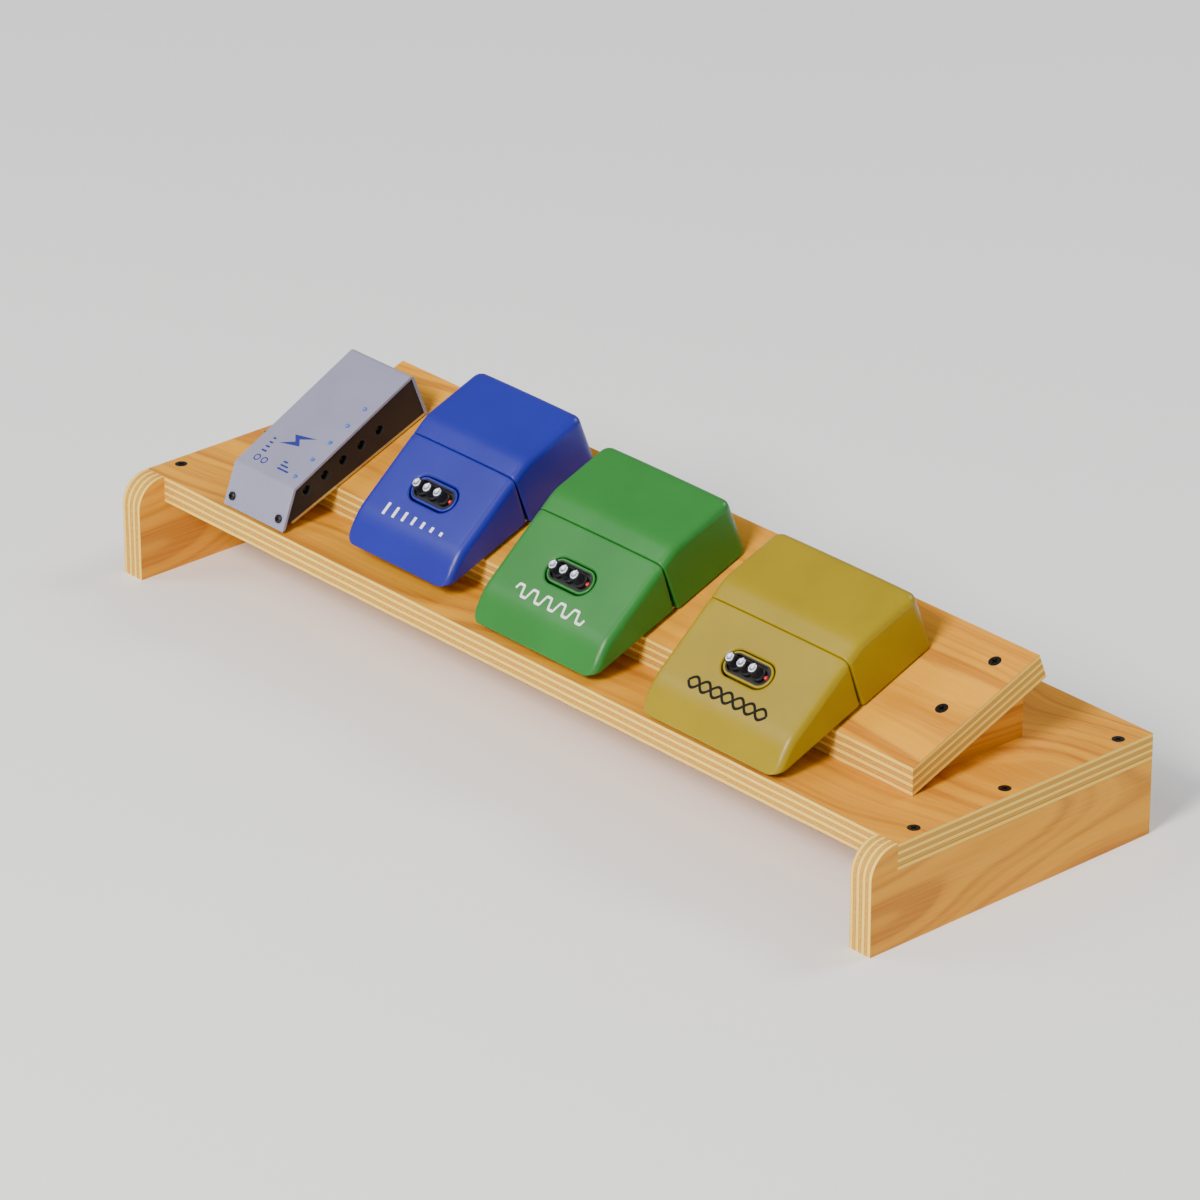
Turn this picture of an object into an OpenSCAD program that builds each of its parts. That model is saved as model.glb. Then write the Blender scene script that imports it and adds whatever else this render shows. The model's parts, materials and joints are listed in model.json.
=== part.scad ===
// Plywood pedalboard with a sloped rear tier, a power supply and three effect pedals.
// X runs along the board, -Y is the player's side, and +Z is up. The origin is on the
// surface that the board stands on, under the middle of the board.

/* [Board] */
// Length of the board, end to end
board_length = 600; // [600:10:760]
// Depth of the board, front to back
board_depth = 200; // [200:5:280]
// Height of the deck's top face
board_height = 58; // [50:1:90]
// Thickness of the plywood
ply = 15; // [14:1:16]
// How far the deck's front edge stands back from the fronts of the cheeks
deck_setback = 18; // [17:1:22]
// Radius of the rounded horn at the front of each cheek
horn_radius = 16; // [8:1:16]

/* [Rear tier] */
// Slope of the tier that the pedals lie on, in degrees
slope = 21; // [19:0.5:23]
// Length of the tier panel, measured up its slope
tier_run = 95; // [92:1:100]
// Distance from the fronts of the cheeks to the tier's front face
tier_start = 59; // [58:1:62]
// Distance from the board's left end to the tier
tier_left_inset = 68; // [60:1:76]
// Distance from the board's right end to the tier
tier_right_inset = 32; // [24:1:40]
// Number of wedge ribs under the tier
rib_count = 4; // [3:1:5]

/* [Effect pedals] */
// Depth of a pedal
pedal_depth = 118; // [116:1:122]
// Height of the front edge of the treadle's top
toe_height = 16; // [15:0.5:17]
// Slope of a pedal's top against its base, in degrees
top_slope = 19; // [17:0.5:20]
// Width of the delay pedal
delay_width = 85; // [84:1:100]
// Width of the overdrive pedal
overdrive_width = 98; // [84:1:104]
// Width of the chorus pedal
chorus_width = 104; // [84:1:110]
// Diameter of a control knob
knob_d = 8; // [7:0.2:8]
// How far the treadle turns when it is pressed, in degrees
treadle_travel = 2.5; // [1:0.5:2.5]

/* [Power supply] */
// Width of the power supply
supply_width = 51; // [50:1:60]
// Depth of the power supply
supply_depth = 112; // [108:1:116]
// Number of outlets along its right side
outlet_count = 5; // [3:1:5]

/* [Hidden] */
$fn = 48;
EFFECTS = ["delay", "overdrive", "chorus"];
PEDAL_PIECES = ["housing", "treadle", "base_plate", "knob_left", "knob_middle", "knob_right", "pots",
    "circuit_board", "foot_switch", "switch_plunger", "return_spring", "jacks", "control_plate"];

// Colours
PINE = [0.87, 0.66, 0.38];
BLACK = [0.06, 0.06, 0.07];
STEEL = [0.72, 0.73, 0.75];
GREY = [0.62, 0.62, 0.68];
BOARD_GREEN = [0.10, 0.36, 0.20];
EFFECT_COLOURS = [[0.12, 0.22, 0.72], [0.22, 0.60, 0.28], [0.68, 0.62, 0.16]];

// Board, derived
front = -board_depth / 2;
end = board_length / 2;
deck_front = front + deck_setback;
tier_front = front + tier_start;
tier_left = tier_left_inset - end;
tier_right = end - tier_right_inset;
tier_rear = tier_front + tier_run * cos(slope);
// Where the plane of the tier's top would meet the deck
plane_start = tier_front - ply / sin(slope);
rib_inset = 18;
rib_front = tier_front + 22;

// Places of the four units along the board: centre, and the front edge of the base
SUPPLY_PLACE = [-207.5, front + 19];
PEDAL_PLACES = [[-100, front + 29.7], [20.4, front + 21.1], [161, front + 17.4]];
PEDAL_WIDTHS = [delay_width, overdrive_width, chorus_width];

// Layers of a pedal above the tier's top face
pad = 1;
plate_t = 1.5;
plate_top = pad + plate_t;
wall = 2.4;
gap = 0.5;

// Side profile of a pedal: v runs back from the front edge and w is the height above the tier
toe_v = 15;
skirt_w = 3;
split_v = 64;
crest_v = 76;
hinge_v = 58;
hinge_w = 20;
pin_r = 1.5;
rim_w = 1.1;
floor_top = 6;
floor_v = 13;
base_v = 9;
switch_v = 19;
switch_top = 9.5;
plunger_r = 1.8;
plunger_top = 11.9;
spring_place = [-14, 21];
crest_w = toe_height + (crest_v - toe_v) * tan(top_slope);

// Controls: an oval turret on the housing, which stands up through a window in the treadle
control_v = 39;
control_w = toe_height + (control_v - toe_v) * tan(top_slope);
knob_places = [-9.5, -1, 7.5];
led_place = 13;
led_r = 1.2;
recess_r = 6;
recess_half = 9.5;
turret_wall = 1.4;
turret_top = -0.3;
window_gap = 0.9;
recess_depth = 4;
recess_floor = 2;
control_plate_t = 1.2;
lining_t = 0.8;
shaft_r = 2;
bushing_r = 3;
knob_base = -2.3;
knob_top = 6.5;

// Sockets on the rear face
jack_w = 17;
jack_bore_r = 3.3;
jack_bushing_r = 5.9;
jack_length = 31;
jack_out = 3;
dc_w = 16;

// Power supply profile
supply_toe = [16.5, 19.5];
supply_rear_w = 29;
sheet_t = 1.6;
outlet_pitch = 14;
outlet_v = 24;
outlet_w = 13;

// --- Shared shapes -------------------------------------------------------------------------

function unit(v) = v / norm(v);

// The points that round the corner at p, between its neighbours a and b
function corner(a, p, b, r, n) =
    r <= 0 ? [p] :
    let (
        u = unit(a - p),
        w = unit(b - p),
        half = acos(u * w) / 2,
        c = p + unit(u + w) * r / sin(half),
        s = p + u * r / tan(half) - c,
        e = p + w * r / tan(half) - c,
        start = atan2(s[1], s[0]),
        turn = (180 - 2 * half) * sign(s[0] * e[1] - s[1] * e[0])
    )
    [for (i = [0:n]) c + r * [cos(start + turn * i / n), sin(start + turn * i / n)]];

// A polygon's points with each corner rounded to its own radius
function rounded(points, radii, n = 8) =
    let (count = len(points))
    [for (i = [0:count - 1])
        each corner(points[(i + count - 1) % count], points[i], points[(i + 1) % count],
            radii[i], n)];

// Extrudes a side profile of [v, w] points along X, from x0 to x1
module along_x(x0, x1, points)
    translate([x0, 0, 0]) rotate([90, 0, 90]) linear_extrude(x1 - x0) polygon(points);

// A rounded rectangle in plan, of any four corner radii, from z0 to z1
module slab(x, y0, y1, z0, z1, front_r, rear_r)
    translate([0, 0, z0]) linear_extrude(z1 - z0)
        polygon(rounded([[-x, y0], [x, y0], [x, y1], [-x, y1]],
            [front_r, front_r, rear_r, rear_r]));

// A stadium: two half circles joined, along X
module stadium(half, r, z0, z1)
    translate([0, 0, z0]) linear_extrude(z1 - z0) {
        translate([-half, -r]) square([2 * half, 2 * r]);
        for (side = [-1, 1]) translate([side * half, 0]) circle(r);
    }

// Moves a unit into place on the slope; its own frame is X, v back and w up from the tier's face
module on_slope(place)
    translate([place[0], place[1], board_height + (place[1] - plane_start) * tan(slope)])
        rotate([slope, 0, 0]) children();

// Moves to the middle of a pedal's control face, with Z square to that face
module on_controls()
    translate([0, control_v, control_w]) rotate([top_slope, 0, 0]) children();

// A countersunk screw with its head's face at the origin and its shank down -Z
module countersunk_screw(length, shank_r, head_r, recess = true) {
    head_t = head_r - shank_r;
    difference() {
        union() {
            translate([0, 0, -head_t]) cylinder(h = head_t, r1 = shank_r, r2 = head_r);
            translate([0, 0, -length + shank_r]) cylinder(h = length - shank_r - head_t + 0.01, r = shank_r);
            translate([0, 0, -length]) cylinder(h = shank_r, r1 = 0.3, r2 = shank_r);
        }
        if (recess)
            for (turn = [0, 90]) rotate(turn)
                translate([-head_r * 0.55, -head_r * 0.11, -head_t * 0.8])
                    cube([head_r * 1.1, head_r * 0.22, head_t]);
    }
}

// The hole that such a screw fills
module screw_hole(length, shank_r, head_r) {
    ease = 0.05;
    head_t = head_r - shank_r;
    translate([0, 0, -head_t - ease]) cylinder(h = head_t + ease, r1 = shank_r + ease, r2 = head_r + ease);
    translate([0, 0, -0.01]) cylinder(h = 1, r = head_r + ease);
    translate([0, 0, -length - 0.3]) cylinder(h = length, r = shank_r + ease);
}

// --- Plywood -------------------------------------------------------------------------------

wood_shank_r = 2;
wood_head_r = 3.5;
cheek_screw = 36;
rib_screw_above = 30;
rib_screw_below = 24;

// Places the screws that hold the deck down to the cheeks
module at_cheek_screws()
    for (side = [-1, 1], y = [deck_front + 18, 0, -front - 18])
        translate([side * (end - ply / 2), y, board_height]) children();

// Where rib number i stands
function rib_x(i) =
    tier_left + rib_inset + i * (tier_right - tier_left - 2 * rib_inset) / (rib_count - 1);

// Places the screws through the tier into its ribs
module at_tier_screws()
    for (i = [0:rib_count - 1], run = [40, 80])
        translate([rib_x(i), tier_front, board_height + ply / cos(slope)])
            rotate([slope, 0, 0]) translate([0, run, 0]) children();

// Places the screws up through the deck into the ribs
module at_rib_screws()
    for (i = [0:rib_count - 1], y = [63, 79])
        translate([rib_x(i), tier_front + y, board_height - ply])
            rotate([180, 0, 0]) children();

module wood_holes() {
    at_cheek_screws() screw_hole(cheek_screw, wood_shank_r, wood_head_r);
    at_tier_screws() screw_hole(rib_screw_above, wood_shank_r, wood_head_r);
    at_rib_screws() screw_hole(rib_screw_below, wood_shank_r, wood_head_r);
}

module wood_screws() color(BLACK) {
    at_cheek_screws() countersunk_screw(cheek_screw, wood_shank_r, wood_head_r);
    at_tier_screws() countersunk_screw(rib_screw_above, wood_shank_r, wood_head_r);
    at_rib_screws() countersunk_screw(rib_screw_below, wood_shank_r, wood_head_r);
}

module deck_panel() color(PINE) difference() {
    translate([-end, deck_front, board_height - ply])
        cube([board_length, -front - deck_front, ply]);
    wood_holes();
}

// A cheek on edge: a rebate holds the deck, and a rounded horn stands in front of it
module cheek(side) color(PINE) difference() {
    along_x(side > 0 ? end - ply : -end, side > 0 ? end : -end + ply,
        rounded([[front, 0], [-front, 0], [-front, board_height - ply],
            [deck_front, board_height - ply], [deck_front, board_height], [front, board_height]],
            [0, 0, 0, 0, 0, horn_radius], 12));
    wood_holes();
}

module rear_tier() color(PINE) difference() {
    along_x(tier_left, tier_right, [
        [tier_front, board_height],
        [tier_rear + ply * sin(slope), board_height + tier_run * sin(slope) + ply / cos(slope) - ply * cos(slope)],
        [tier_rear, board_height + tier_run * sin(slope) + ply / cos(slope)],
        [tier_front, board_height + ply / cos(slope)]]);
    wood_holes();
}

// Wedge ribs between the deck and the tier
module tier_ribs() color(PINE) difference() {
    for (i = [0:rib_count - 1]) {
        along_x(rib_x(i) - ply / 2, rib_x(i) + ply / 2, [
            [rib_front, board_height],
            [tier_rear, board_height],
            [tier_rear, board_height + (tier_rear - tier_front) * tan(slope)],
            [rib_front, board_height + (rib_front - tier_front) * tan(slope)]]);
    }
    wood_holes();
}

// Hook-and-loop pads under each unit, where it lies on the tier
module hook_loop_pads() color(BLACK) {
    for (i = [0:2]) on_slope(PEDAL_PLACES[i])
        for (v = [58, 96]) translate([-PEDAL_WIDTHS[i] / 2 + 12, v - 8, 0])
            cube([PEDAL_WIDTHS[i] - 24, 16, pad]);
    on_slope(SUPPLY_PLACE)
        for (v = [58, 94]) translate([-supply_width / 2 + 8, v - 8, 0])
            cube([supply_width - 16, 16, pad]);
}

// --- Effect pedals -------------------------------------------------------------------------

base_screw_length = 9;
front_screw_length = 4.5;

// Places the screws that hold a base plate to its housing
module at_base_screws(width, long)
    for (side = [-1, 1])
        translate([side * (width / 2 - (long ? 6 : 10)), long ? 84 : 20, pad])
            rotate([180, 0, 0]) children();

module base_screw_holes(width) {
    at_base_screws(width, false) screw_hole(front_screw_length, 1.4, 2.6);
    at_base_screws(width, true) screw_hole(base_screw_length, 1.4, 2.6);
}

module pedal_base_screws() color(STEEL) {
    for (i = [0:2]) on_slope(PEDAL_PLACES[i]) {
        at_base_screws(PEDAL_WIDTHS[i], false) countersunk_screw(front_screw_length, 1.4, 2.6);
        at_base_screws(PEDAL_WIDTHS[i], true) countersunk_screw(base_screw_length, 1.4, 2.6);
    }
    on_slope(SUPPLY_PLACE) at_supply_base_screws() countersunk_screw(supply_screw_length, 1.2, 2.2);
}

// The outline of a pedal in plan, which its housing and treadle are cut to
module pedal_outline(width)
    slab(width / 2, 0, pedal_depth, 0, 60, 9, 6);

module housing(i) {
    width = PEDAL_WIDTHS[i];
    color(EFFECT_COLOURS[i]) difference() {
        union() {
            intersection() {
                difference() {
                    along_x(-width / 2, width / 2, rounded([
                        [split_v + gap, rim_w],
                        [pedal_depth, rim_w],
                        [pedal_depth, crest_w],
                        [crest_v, crest_w],
                        [split_v + gap, toe_height + (split_v + gap - toe_v) * tan(top_slope)]],
                        [0, 0, 6, 14, 1]));
                    housing_hollow(width);
                }
                pedal_outline(width);
            }
            slab(width / 2 - wall - 0.9, floor_v, split_v + gap + wall, plate_top, floor_top, 4, 0);
            turret();
            for (side = [-1, 1]) {
                hinge_lug(side * (width / 2 - 15));
                translate([side * (width / 2 - 6), 84, plate_top]) cylinder(h = 14, r = 4);
            }
            translate([spring_place[0], spring_place[1], floor_top - 0.01]) cylinder(h = 2, r = 2.4);
        }
        for (side = [-1, 1]) translate([side * (width / 2 - 17), pedal_depth - 8, jack_w])
            rotate([-90, 0, 0]) cylinder(h = 12, r = jack_bushing_r + 0.05);
        translate([0, pedal_depth - 8, dc_w]) rotate([-90, 0, 0]) cylinder(h = 12, r = 4.25);
        translate([-width / 2, hinge_v, hinge_w]) rotate([0, 90, 0]) cylinder(h = width, r = pin_r + 0.02);
        base_screw_holes(width);
    }
}

// The hollow of the rear part of a housing, open at the base, where its base plate passes
module housing_hollow(width) {
    rise = toe_height - wall / cos(top_slope);
    along_x(-width / 2 + wall, width / 2 - wall, [
        [split_v, 0], [crest_v, 0], [crest_v, plate_top], [split_v, plate_top]]);
    along_x(-width / 2 + wall, width / 2 - wall, [
        [split_v + gap + wall, -1],
        [pedal_depth - wall, -1],
        [pedal_depth - wall, crest_w - wall],
        [toe_v + (crest_w - wall - rise) / tan(top_slope), crest_w - wall],
        [split_v + gap + wall, rise + (split_v + gap + wall - toe_v) * tan(top_slope)]]);
}

// The oval turret that the knobs stand in, from the housing's floor to the treadle's top
module turret() intersection() {
    difference() {
        on_controls() stadium(recess_half, recess_r + turret_wall, -40, turret_top);
        on_controls() stadium(recess_half, recess_r, -recess_depth, 10);
        on_controls() stadium(recess_half, recess_r, -41, -recess_depth - recess_floor);
        control_holes();
    }
    translate([-50, 0, floor_top - 0.01]) cube([100, 100, 60]);
}

// Holes for the potentiometers' bushings and the light in the turret's floor
module control_holes() on_controls() {
    for (x = knob_places) translate([x, 0, -10]) cylinder(h = 10, r = bushing_r + 0.05);
    translate([led_place, 0, -10]) cylinder(h = 10, r = led_r + 0.05);
}

// A lug on the housing that holds the hinge pin
module hinge_lug(x) translate([x - 2, 0, 0]) {
    along_x(0, 4, [[hinge_v - 4, floor_top - 0.01], [hinge_v + 4, floor_top - 0.01],
        [hinge_v + 4, hinge_w], [hinge_v - 4, hinge_w]]);
    translate([0, hinge_v, hinge_w]) rotate([0, 90, 0]) cylinder(h = 4, r = 4);
}

// The treadle: a cap over the front of the pedal, on a hinge at its rear
module treadle(i) {
    width = PEDAL_WIDTHS[i];
    rise = toe_height - wall / cos(top_slope);
    top_w = toe_height + (split_v - toe_v) * tan(top_slope);
    color(EFFECT_COLOURS[i]) difference() {
        union() {
            intersection() {
                difference() {
                    along_x(-width / 2, width / 2, rounded([
                        [1, skirt_w], [split_v - 1.6, skirt_w], [split_v, top_w], [toe_v, toe_height]],
                        [0.6, 1.5, 0.6, 10]));
                    along_x(-width / 2 + wall, width / 2 - wall, [
                        [1, 0], [split_v + 10, 0],
                        [split_v + 10, rise + (split_v + 10 - toe_v) * tan(top_slope)],
                        [toe_v + 2, rise]]);
                }
                pedal_outline(width);
            }
            for (side = [-1, 1]) intersection() {
                ear(side * (width / 2 - 8));
                along_x(-width / 2, width / 2, [[0, skirt_w], [split_v - 0.5, skirt_w],
                    [split_v - 0.5, top_w - 1], [toe_v, toe_height - 1]]);
            }
            translate([0, switch_v, plunger_top + 0.1])
                cylinder(h = rise + (switch_v - toe_v) * tan(top_slope) - plunger_top + 0.5, r = 3);
        }
        translate([-pin_length(i) / 2, hinge_v, hinge_w]) rotate([0, 90, 0])
            cylinder(h = pin_length(i), r = pin_r + 0.06);
        on_controls() stadium(recess_half, recess_r + turret_wall + window_gap, -20, 10);
    }
}

// An ear under the treadle that turns on the hinge pin
module ear(x) translate([x - 2, 0, 0]) {
    along_x(0, 4, [[hinge_v - 4, hinge_w], [hinge_v + 4, hinge_w],
        [hinge_v + 4, hinge_w + 12], [hinge_v - 4, hinge_w + 12]]);
    translate([0, hinge_v, hinge_w]) rotate([0, 90, 0]) cylinder(h = 4, r = 4);
}

module base_plate(i) color(STEEL) difference() {
    slab(PEDAL_WIDTHS[i] / 2 - wall - 0.4, base_v, pedal_depth - wall - 0.4, pad, plate_top, 6, 4);
    base_screw_holes(PEDAL_WIDTHS[i]);
}

// A knob with its pointer flat, and the potentiometer's shaft in it
module knob(k) on_controls() translate([knob_places[k], 0, 0]) {
    color(STEEL) difference() {
        union() {
            translate([0, 0, knob_base]) cylinder(h = 2.4, r = knob_d / 2);
            translate([0, 0, knob_base + 2.4]) cylinder(h = knob_top - knob_base - 3, r = knob_d / 2 - 0.5);
            translate([0, 0, knob_top - 0.6]) cylinder(h = 0.6, r1 = knob_d / 2 - 0.5, r2 = knob_d / 2 - 1.1);
        }
        translate([0, 0, knob_base - 1]) cylinder(h = 1 + 5.3, r = shaft_r + 0.03);
        translate([-0.4, 1, knob_top - 0.4]) cube([0.8, knob_d, 1]);
    }
    color(STEEL) translate([0, 0, -8]) cylinder(h = 8 + knob_base + 5, r = shaft_r);
}

module pots() color(STEEL) on_controls() for (x = knob_places) translate([x, 0, 0])
    difference() {
        union() {
            translate([-4, -4.2, -12]) cube([8, 8.4, 12 - recess_depth - recess_floor]);
            translate([0, 0, -recess_depth - recess_floor - 0.01])
                cylinder(h = recess_floor + control_plate_t, r = bushing_r);
        }
        translate([0, 0, -9]) cylinder(h = 10, r = shaft_r + 0.05);
    }

// The dark insert that lines the recess round the knobs
module control_plate() color(BLACK) difference() {
    on_controls() stadium(recess_half, recess_r - 0.1, -recess_depth, turret_top);
    on_controls() stadium(recess_half, recess_r - lining_t, -recess_depth + control_plate_t, 5);
    control_holes();
}

// The circuit board on its spacers, with the parts that stand on it
module circuit_board(i) {
    half = PEDAL_WIDTHS[i] / 2 - 13;
    color(BOARD_GREEN) {
        translate([-half, 68, 9]) cube([2 * half, 21, 1.6]);
        for (x = [-1, 1], y = [71, 86]) translate([x * (half - 4), y, plate_top])
            cylinder(h = 9 - plate_top, r = 2.5);
    }
    color(BLACK) for (x = [-half + 12, half - 22]) translate([x, 72, 10.6]) cube([10, 6.4, 3.2]);
    color(STEEL) for (x = [-8, 0, 8]) translate([x, 84, 10.6]) cylinder(h = 8, r = 3);
}

// The switch under the treadle
module foot_switch() color(BLACK) difference() {
    translate([-4, switch_v - 4, floor_top]) cube([8, 8, switch_top - floor_top]);
    translate([0, switch_v, floor_top + 0.4]) cylinder(h = 5, r = plunger_r + 0.06);
}

// The plunger that the treadle pushes into the switch
module switch_plunger() color(STEEL)
    translate([0, switch_v, switch_top - 1.2]) cylinder(h = plunger_top - switch_top + 1.2, r = plunger_r);

spring_r = 3.5;
wire_r = 0.55;
spring_turns = 4;
spring_steps = 14;
spring_sides = 6;

// A compression spring, swept along its own helix, between the housing's floor and the treadle
module return_spring() {
    top = toe_height - wall / cos(top_slope) - 0.9;
    bottom = floor_top + wire_r + 0.1;
    last = spring_turns * spring_steps;
    points = [for (i = [0:last], j = [0:spring_sides - 1])
        let (a = 360 * i / spring_steps, b = 360 * j / spring_sides, r = spring_r + wire_r * cos(b))
        [r * cos(a), r * sin(a), bottom + (top - bottom) * i / last + wire_r * sin(b)]];
    sides = [for (i = [0:last - 1], j = [0:spring_sides - 1])
        let (n = (j + 1) % spring_sides, p = i * spring_sides, q = p + spring_sides)
        each [[p + j, q + j, q + n], [p + j, q + n, p + n]]];
    caps = [[for (j = [0:spring_sides - 1]) j],
        [for (j = [spring_sides - 1:-1:0]) last * spring_sides + j]];
    color(STEEL) translate([spring_place[0], spring_place[1], 0])
        polyhedron(points, concat(sides, caps), convexity = 10);
}

function pin_length(i) = PEDAL_WIDTHS[i] - 10;

module pedal_hinge_pins() color(STEEL) for (i = [0:2]) on_slope(PEDAL_PLACES[i])
    translate([-pin_length(i) / 2 + 0.2, hinge_v, hinge_w]) rotate([0, 90, 0])
        cylinder(h = pin_length(i) - 0.4, r = pin_r);

// Places the two jack sockets in a pedal's rear face
module at_jacks(i)
    for (side = [-1, 1]) translate([side * (PEDAL_WIDTHS[i] / 2 - 17), pedal_depth, jack_w]) children();

// Two jack sockets, and the power socket between them
module jacks(i) color(BLACK) {
    at_jacks(i) difference() {
        union() {
            translate([-7, -jack_length + jack_out, -6.5]) cube([14, jack_length - jack_out - wall, 13]);
            translate([0, -wall - 0.01, 0]) rotate([-90, 0, 0]) cylinder(h = wall + jack_out, r = jack_bushing_r);
        }
        translate([0, -jack_length + jack_out + 1, 0]) rotate([-90, 0, 0])
            cylinder(h = jack_length, r = jack_bore_r);
    }
    translate([0, pedal_depth, dc_w]) dc_socket(4.2, wall);
}

module pedal_jack_nuts() color(STEEL) for (i = [0:2]) on_slope(PEDAL_PLACES[i]) at_jacks(i)
    rotate([-90, 0, 0]) difference() {
        cylinder(h = 2.2, r = 8.2, $fn = 6);
        translate([0, 0, -1]) cylinder(h = 5, r = jack_bushing_r + 0.05);
    }

// A power socket facing +Y with its face at the origin: a barrel, a body and a centre pin
module dc_socket(barrel_r, flange) {
    difference() {
        union() {
            translate([0, -flange - 0.01, 0]) rotate([-90, 0, 0]) cylinder(h = flange, r = barrel_r);
            translate([-4.5, -flange - 7, -4.5]) cube([9, 7, 9]);
        }
        translate([0, -flange - 5.6, 0]) rotate([-90, 0, 0]) cylinder(h = 12, r = 2.8);
    }
    translate([0, -flange - 6, 0]) rotate([-90, 0, 0]) cylinder(h = flange + 4, r = 1);
}

module pedal_leds() color([0.75, 0.05, 0.04]) for (i = [0:2]) on_slope(PEDAL_PLACES[i])
    on_controls() translate([led_place, 0, 0]) {
        translate([0, 0, -8]) cylinder(h = 7, r = led_r);
        translate([0, 0, -1]) intersection() {
            sphere(r = led_r);
            cylinder(h = 3, r = led_r + 1);
        }
    }

// --- Power supply --------------------------------------------------------------------------

panel_inner = supply_width / 2 - 2.2;
panel_ease = 0.05;
tab = 7.8;
supply_base_screw_v = [20, supply_depth - 7];
supply_screw_length = 4;
face_screw_up = 6;
supply_face_angle = atan2(supply_toe[1] - rim_w, supply_toe[0]);
supply_top_angle = atan2(supply_rear_w - supply_toe[1], supply_depth - supply_toe[0]);

// The supply's side profile, drawn in by a distance from its faces
function supply_profile(inset, base) =
    let (
        half = (180 - supply_face_angle + supply_top_angle) / 2,
        middle = supply_top_angle - half,
        toe = supply_toe + inset / sin(half) * [cos(middle), sin(middle)],
        foot = toe[0] - (toe[1] - base) / tan(supply_face_angle),
        rear = supply_depth - inset
    )
    [[foot, base], [rear, base], [rear, toe[1] + (rear - toe[0]) * tan(supply_top_angle)], toe];

// A folded sheet: front, top and rear in one piece, open at the sides and the base
module supply_shell() color(GREY) on_slope(SUPPLY_PLACE) difference() {
    along_x(-supply_width / 2, supply_width / 2,
        rounded(supply_profile(0, rim_w), [0, 0, 2.5, 2.5], 6));
    along_x(-supply_width, supply_width, supply_profile(sheet_t, -5));
    at_supply_leds() translate([0, 0, -5]) cylinder(h = 10, r = 1.35);
    at_supply_face_screws() translate([0, 0, -4]) cylinder(h = 8, r = 1.25);
    translate([-12.1, supply_depth - 5, 5.9]) cube([24.2, 10, 16.2]);
}

module at_supply_leds()
    for (k = [0:outlet_count - 1]) translate([0, supply_toe[0], supply_toe[1]])
        rotate([supply_top_angle, 0, 0])
            translate([supply_width / 2 - 7, outlet_v + k * outlet_pitch - supply_toe[0], 0]) children();

// The two screws low on the sloping front face
module at_supply_face_screws()
    for (side = [-1, 1]) translate([0, 0, rim_w]) rotate([supply_face_angle, 0, 0])
        translate([side * (supply_width / 2 - 5.5), face_screw_up, 0]) children();

module at_supply_base_screws()
    for (side = [-1, 1], v = supply_base_screw_v)
        translate([side * (supply_width / 2 - 6), v, pad]) rotate([180, 0, 0]) children();

// Two black panels that close the ends of the shell, each with tabs that its screws bite into
module supply_end_panels() color(BLACK) on_slope(SUPPLY_PLACE)
    for (side = [-1, 1]) difference() {
        union() {
            along_x(side > 0 ? panel_inner : -panel_inner - sheet_t,
                side > 0 ? panel_inner + sheet_t : -panel_inner,
                supply_profile(sheet_t + panel_ease, plate_top + panel_ease));
            for (v = supply_base_screw_v)
                translate([side * (panel_inner - tab / 2 + 0.01), v, plate_top + panel_ease + sheet_t / 2])
                    cube([tab, tab, sheet_t], center = true);
            translate([0, 0, rim_w]) rotate([supply_face_angle, 0, 0])
                translate([side * (panel_inner - tab / 2 + 0.01), face_screw_up + 1,
                    -sheet_t * 1.5 - panel_ease])
                    cube([tab, tab - 1, sheet_t], center = true);
        }
        at_supply_face_screws() translate([0, 0, -5]) cylinder(h = 5, r = 1.25);
        at_supply_base_screws() screw_hole(supply_screw_length, 1.2, 2.2);
        if (side > 0) at_outlets() translate([0, -9, 0]) rotate([-90, 0, 0]) cylinder(h = 12, r = 3.85);
    }

// Places the outlets, each facing +X through the right end panel
module at_outlets()
    for (k = [0:outlet_count - 1])
        translate([panel_inner + sheet_t, outlet_v + k * outlet_pitch, outlet_w])
            rotate(-90) children();

module supply_base_plate() color(STEEL) on_slope(SUPPLY_PLACE) difference() {
    slab(supply_width / 2 - 0.4, 8, supply_depth - sheet_t - 0.2, pad, plate_top, 0, 0);
    at_supply_base_screws() screw_hole(supply_screw_length, 1.2, 2.2);
}

module supply_screws() color(BLACK) on_slope(SUPPLY_PLACE) at_supply_face_screws() difference() {
    union() {
        cylinder(h = 1, r = 2.4);
        translate([0, 0, 1]) cylinder(h = 0.6, r1 = 2.4, r2 = 1.7);
        translate([0, 0, -3.6]) cylinder(h = 3.61, r = 1.2);
    }
    for (turn = [0, 90]) rotate(turn) translate([-1.3, -0.3, 0.8]) cube([2.6, 0.6, 2]);
}

module supply_outlets() color(BLACK) on_slope(SUPPLY_PLACE) at_outlets() dc_socket(3.8, sheet_t);

// A ring-core transformer
module supply_transformer() color([0.75, 0.45, 0.18]) on_slope(SUPPLY_PLACE)
    translate([-6, 80, plate_top]) rotate_extrude()
        translate([4, 0]) polygon(rounded([[0, 0], [11, 0], [11, 15], [0, 15]], [3, 3, 3, 3]));

module supply_circuit_board() on_slope(SUPPLY_PLACE) {
    color(BOARD_GREEN) {
        translate([-14, 18, 4.5]) cube([29, 40, 1.6]);
        for (x = [-10, 11], v = [22, 54]) translate([x, v, plate_top]) cylinder(h = 2, r = 2.5);
    }
    color(BLACK) for (v = [26, 40]) translate([-12, v, 6.1]) cube([12, 8, 4]);
    color(STEEL) for (v = [28, 40, 50]) translate([6, v, 6.1]) cylinder(h = 9, r = 4);
}

module supply_leds() color([0.20, 0.35, 0.80]) on_slope(SUPPLY_PLACE) at_supply_leds() {
    translate([0, 0, -2.5]) cylinder(h = 2.6, r = 1.3);
    translate([0, 0, 0.1]) intersection() {
        sphere(r = 1.3);
        cylinder(h = 3, r = 2);
    }
}

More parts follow.
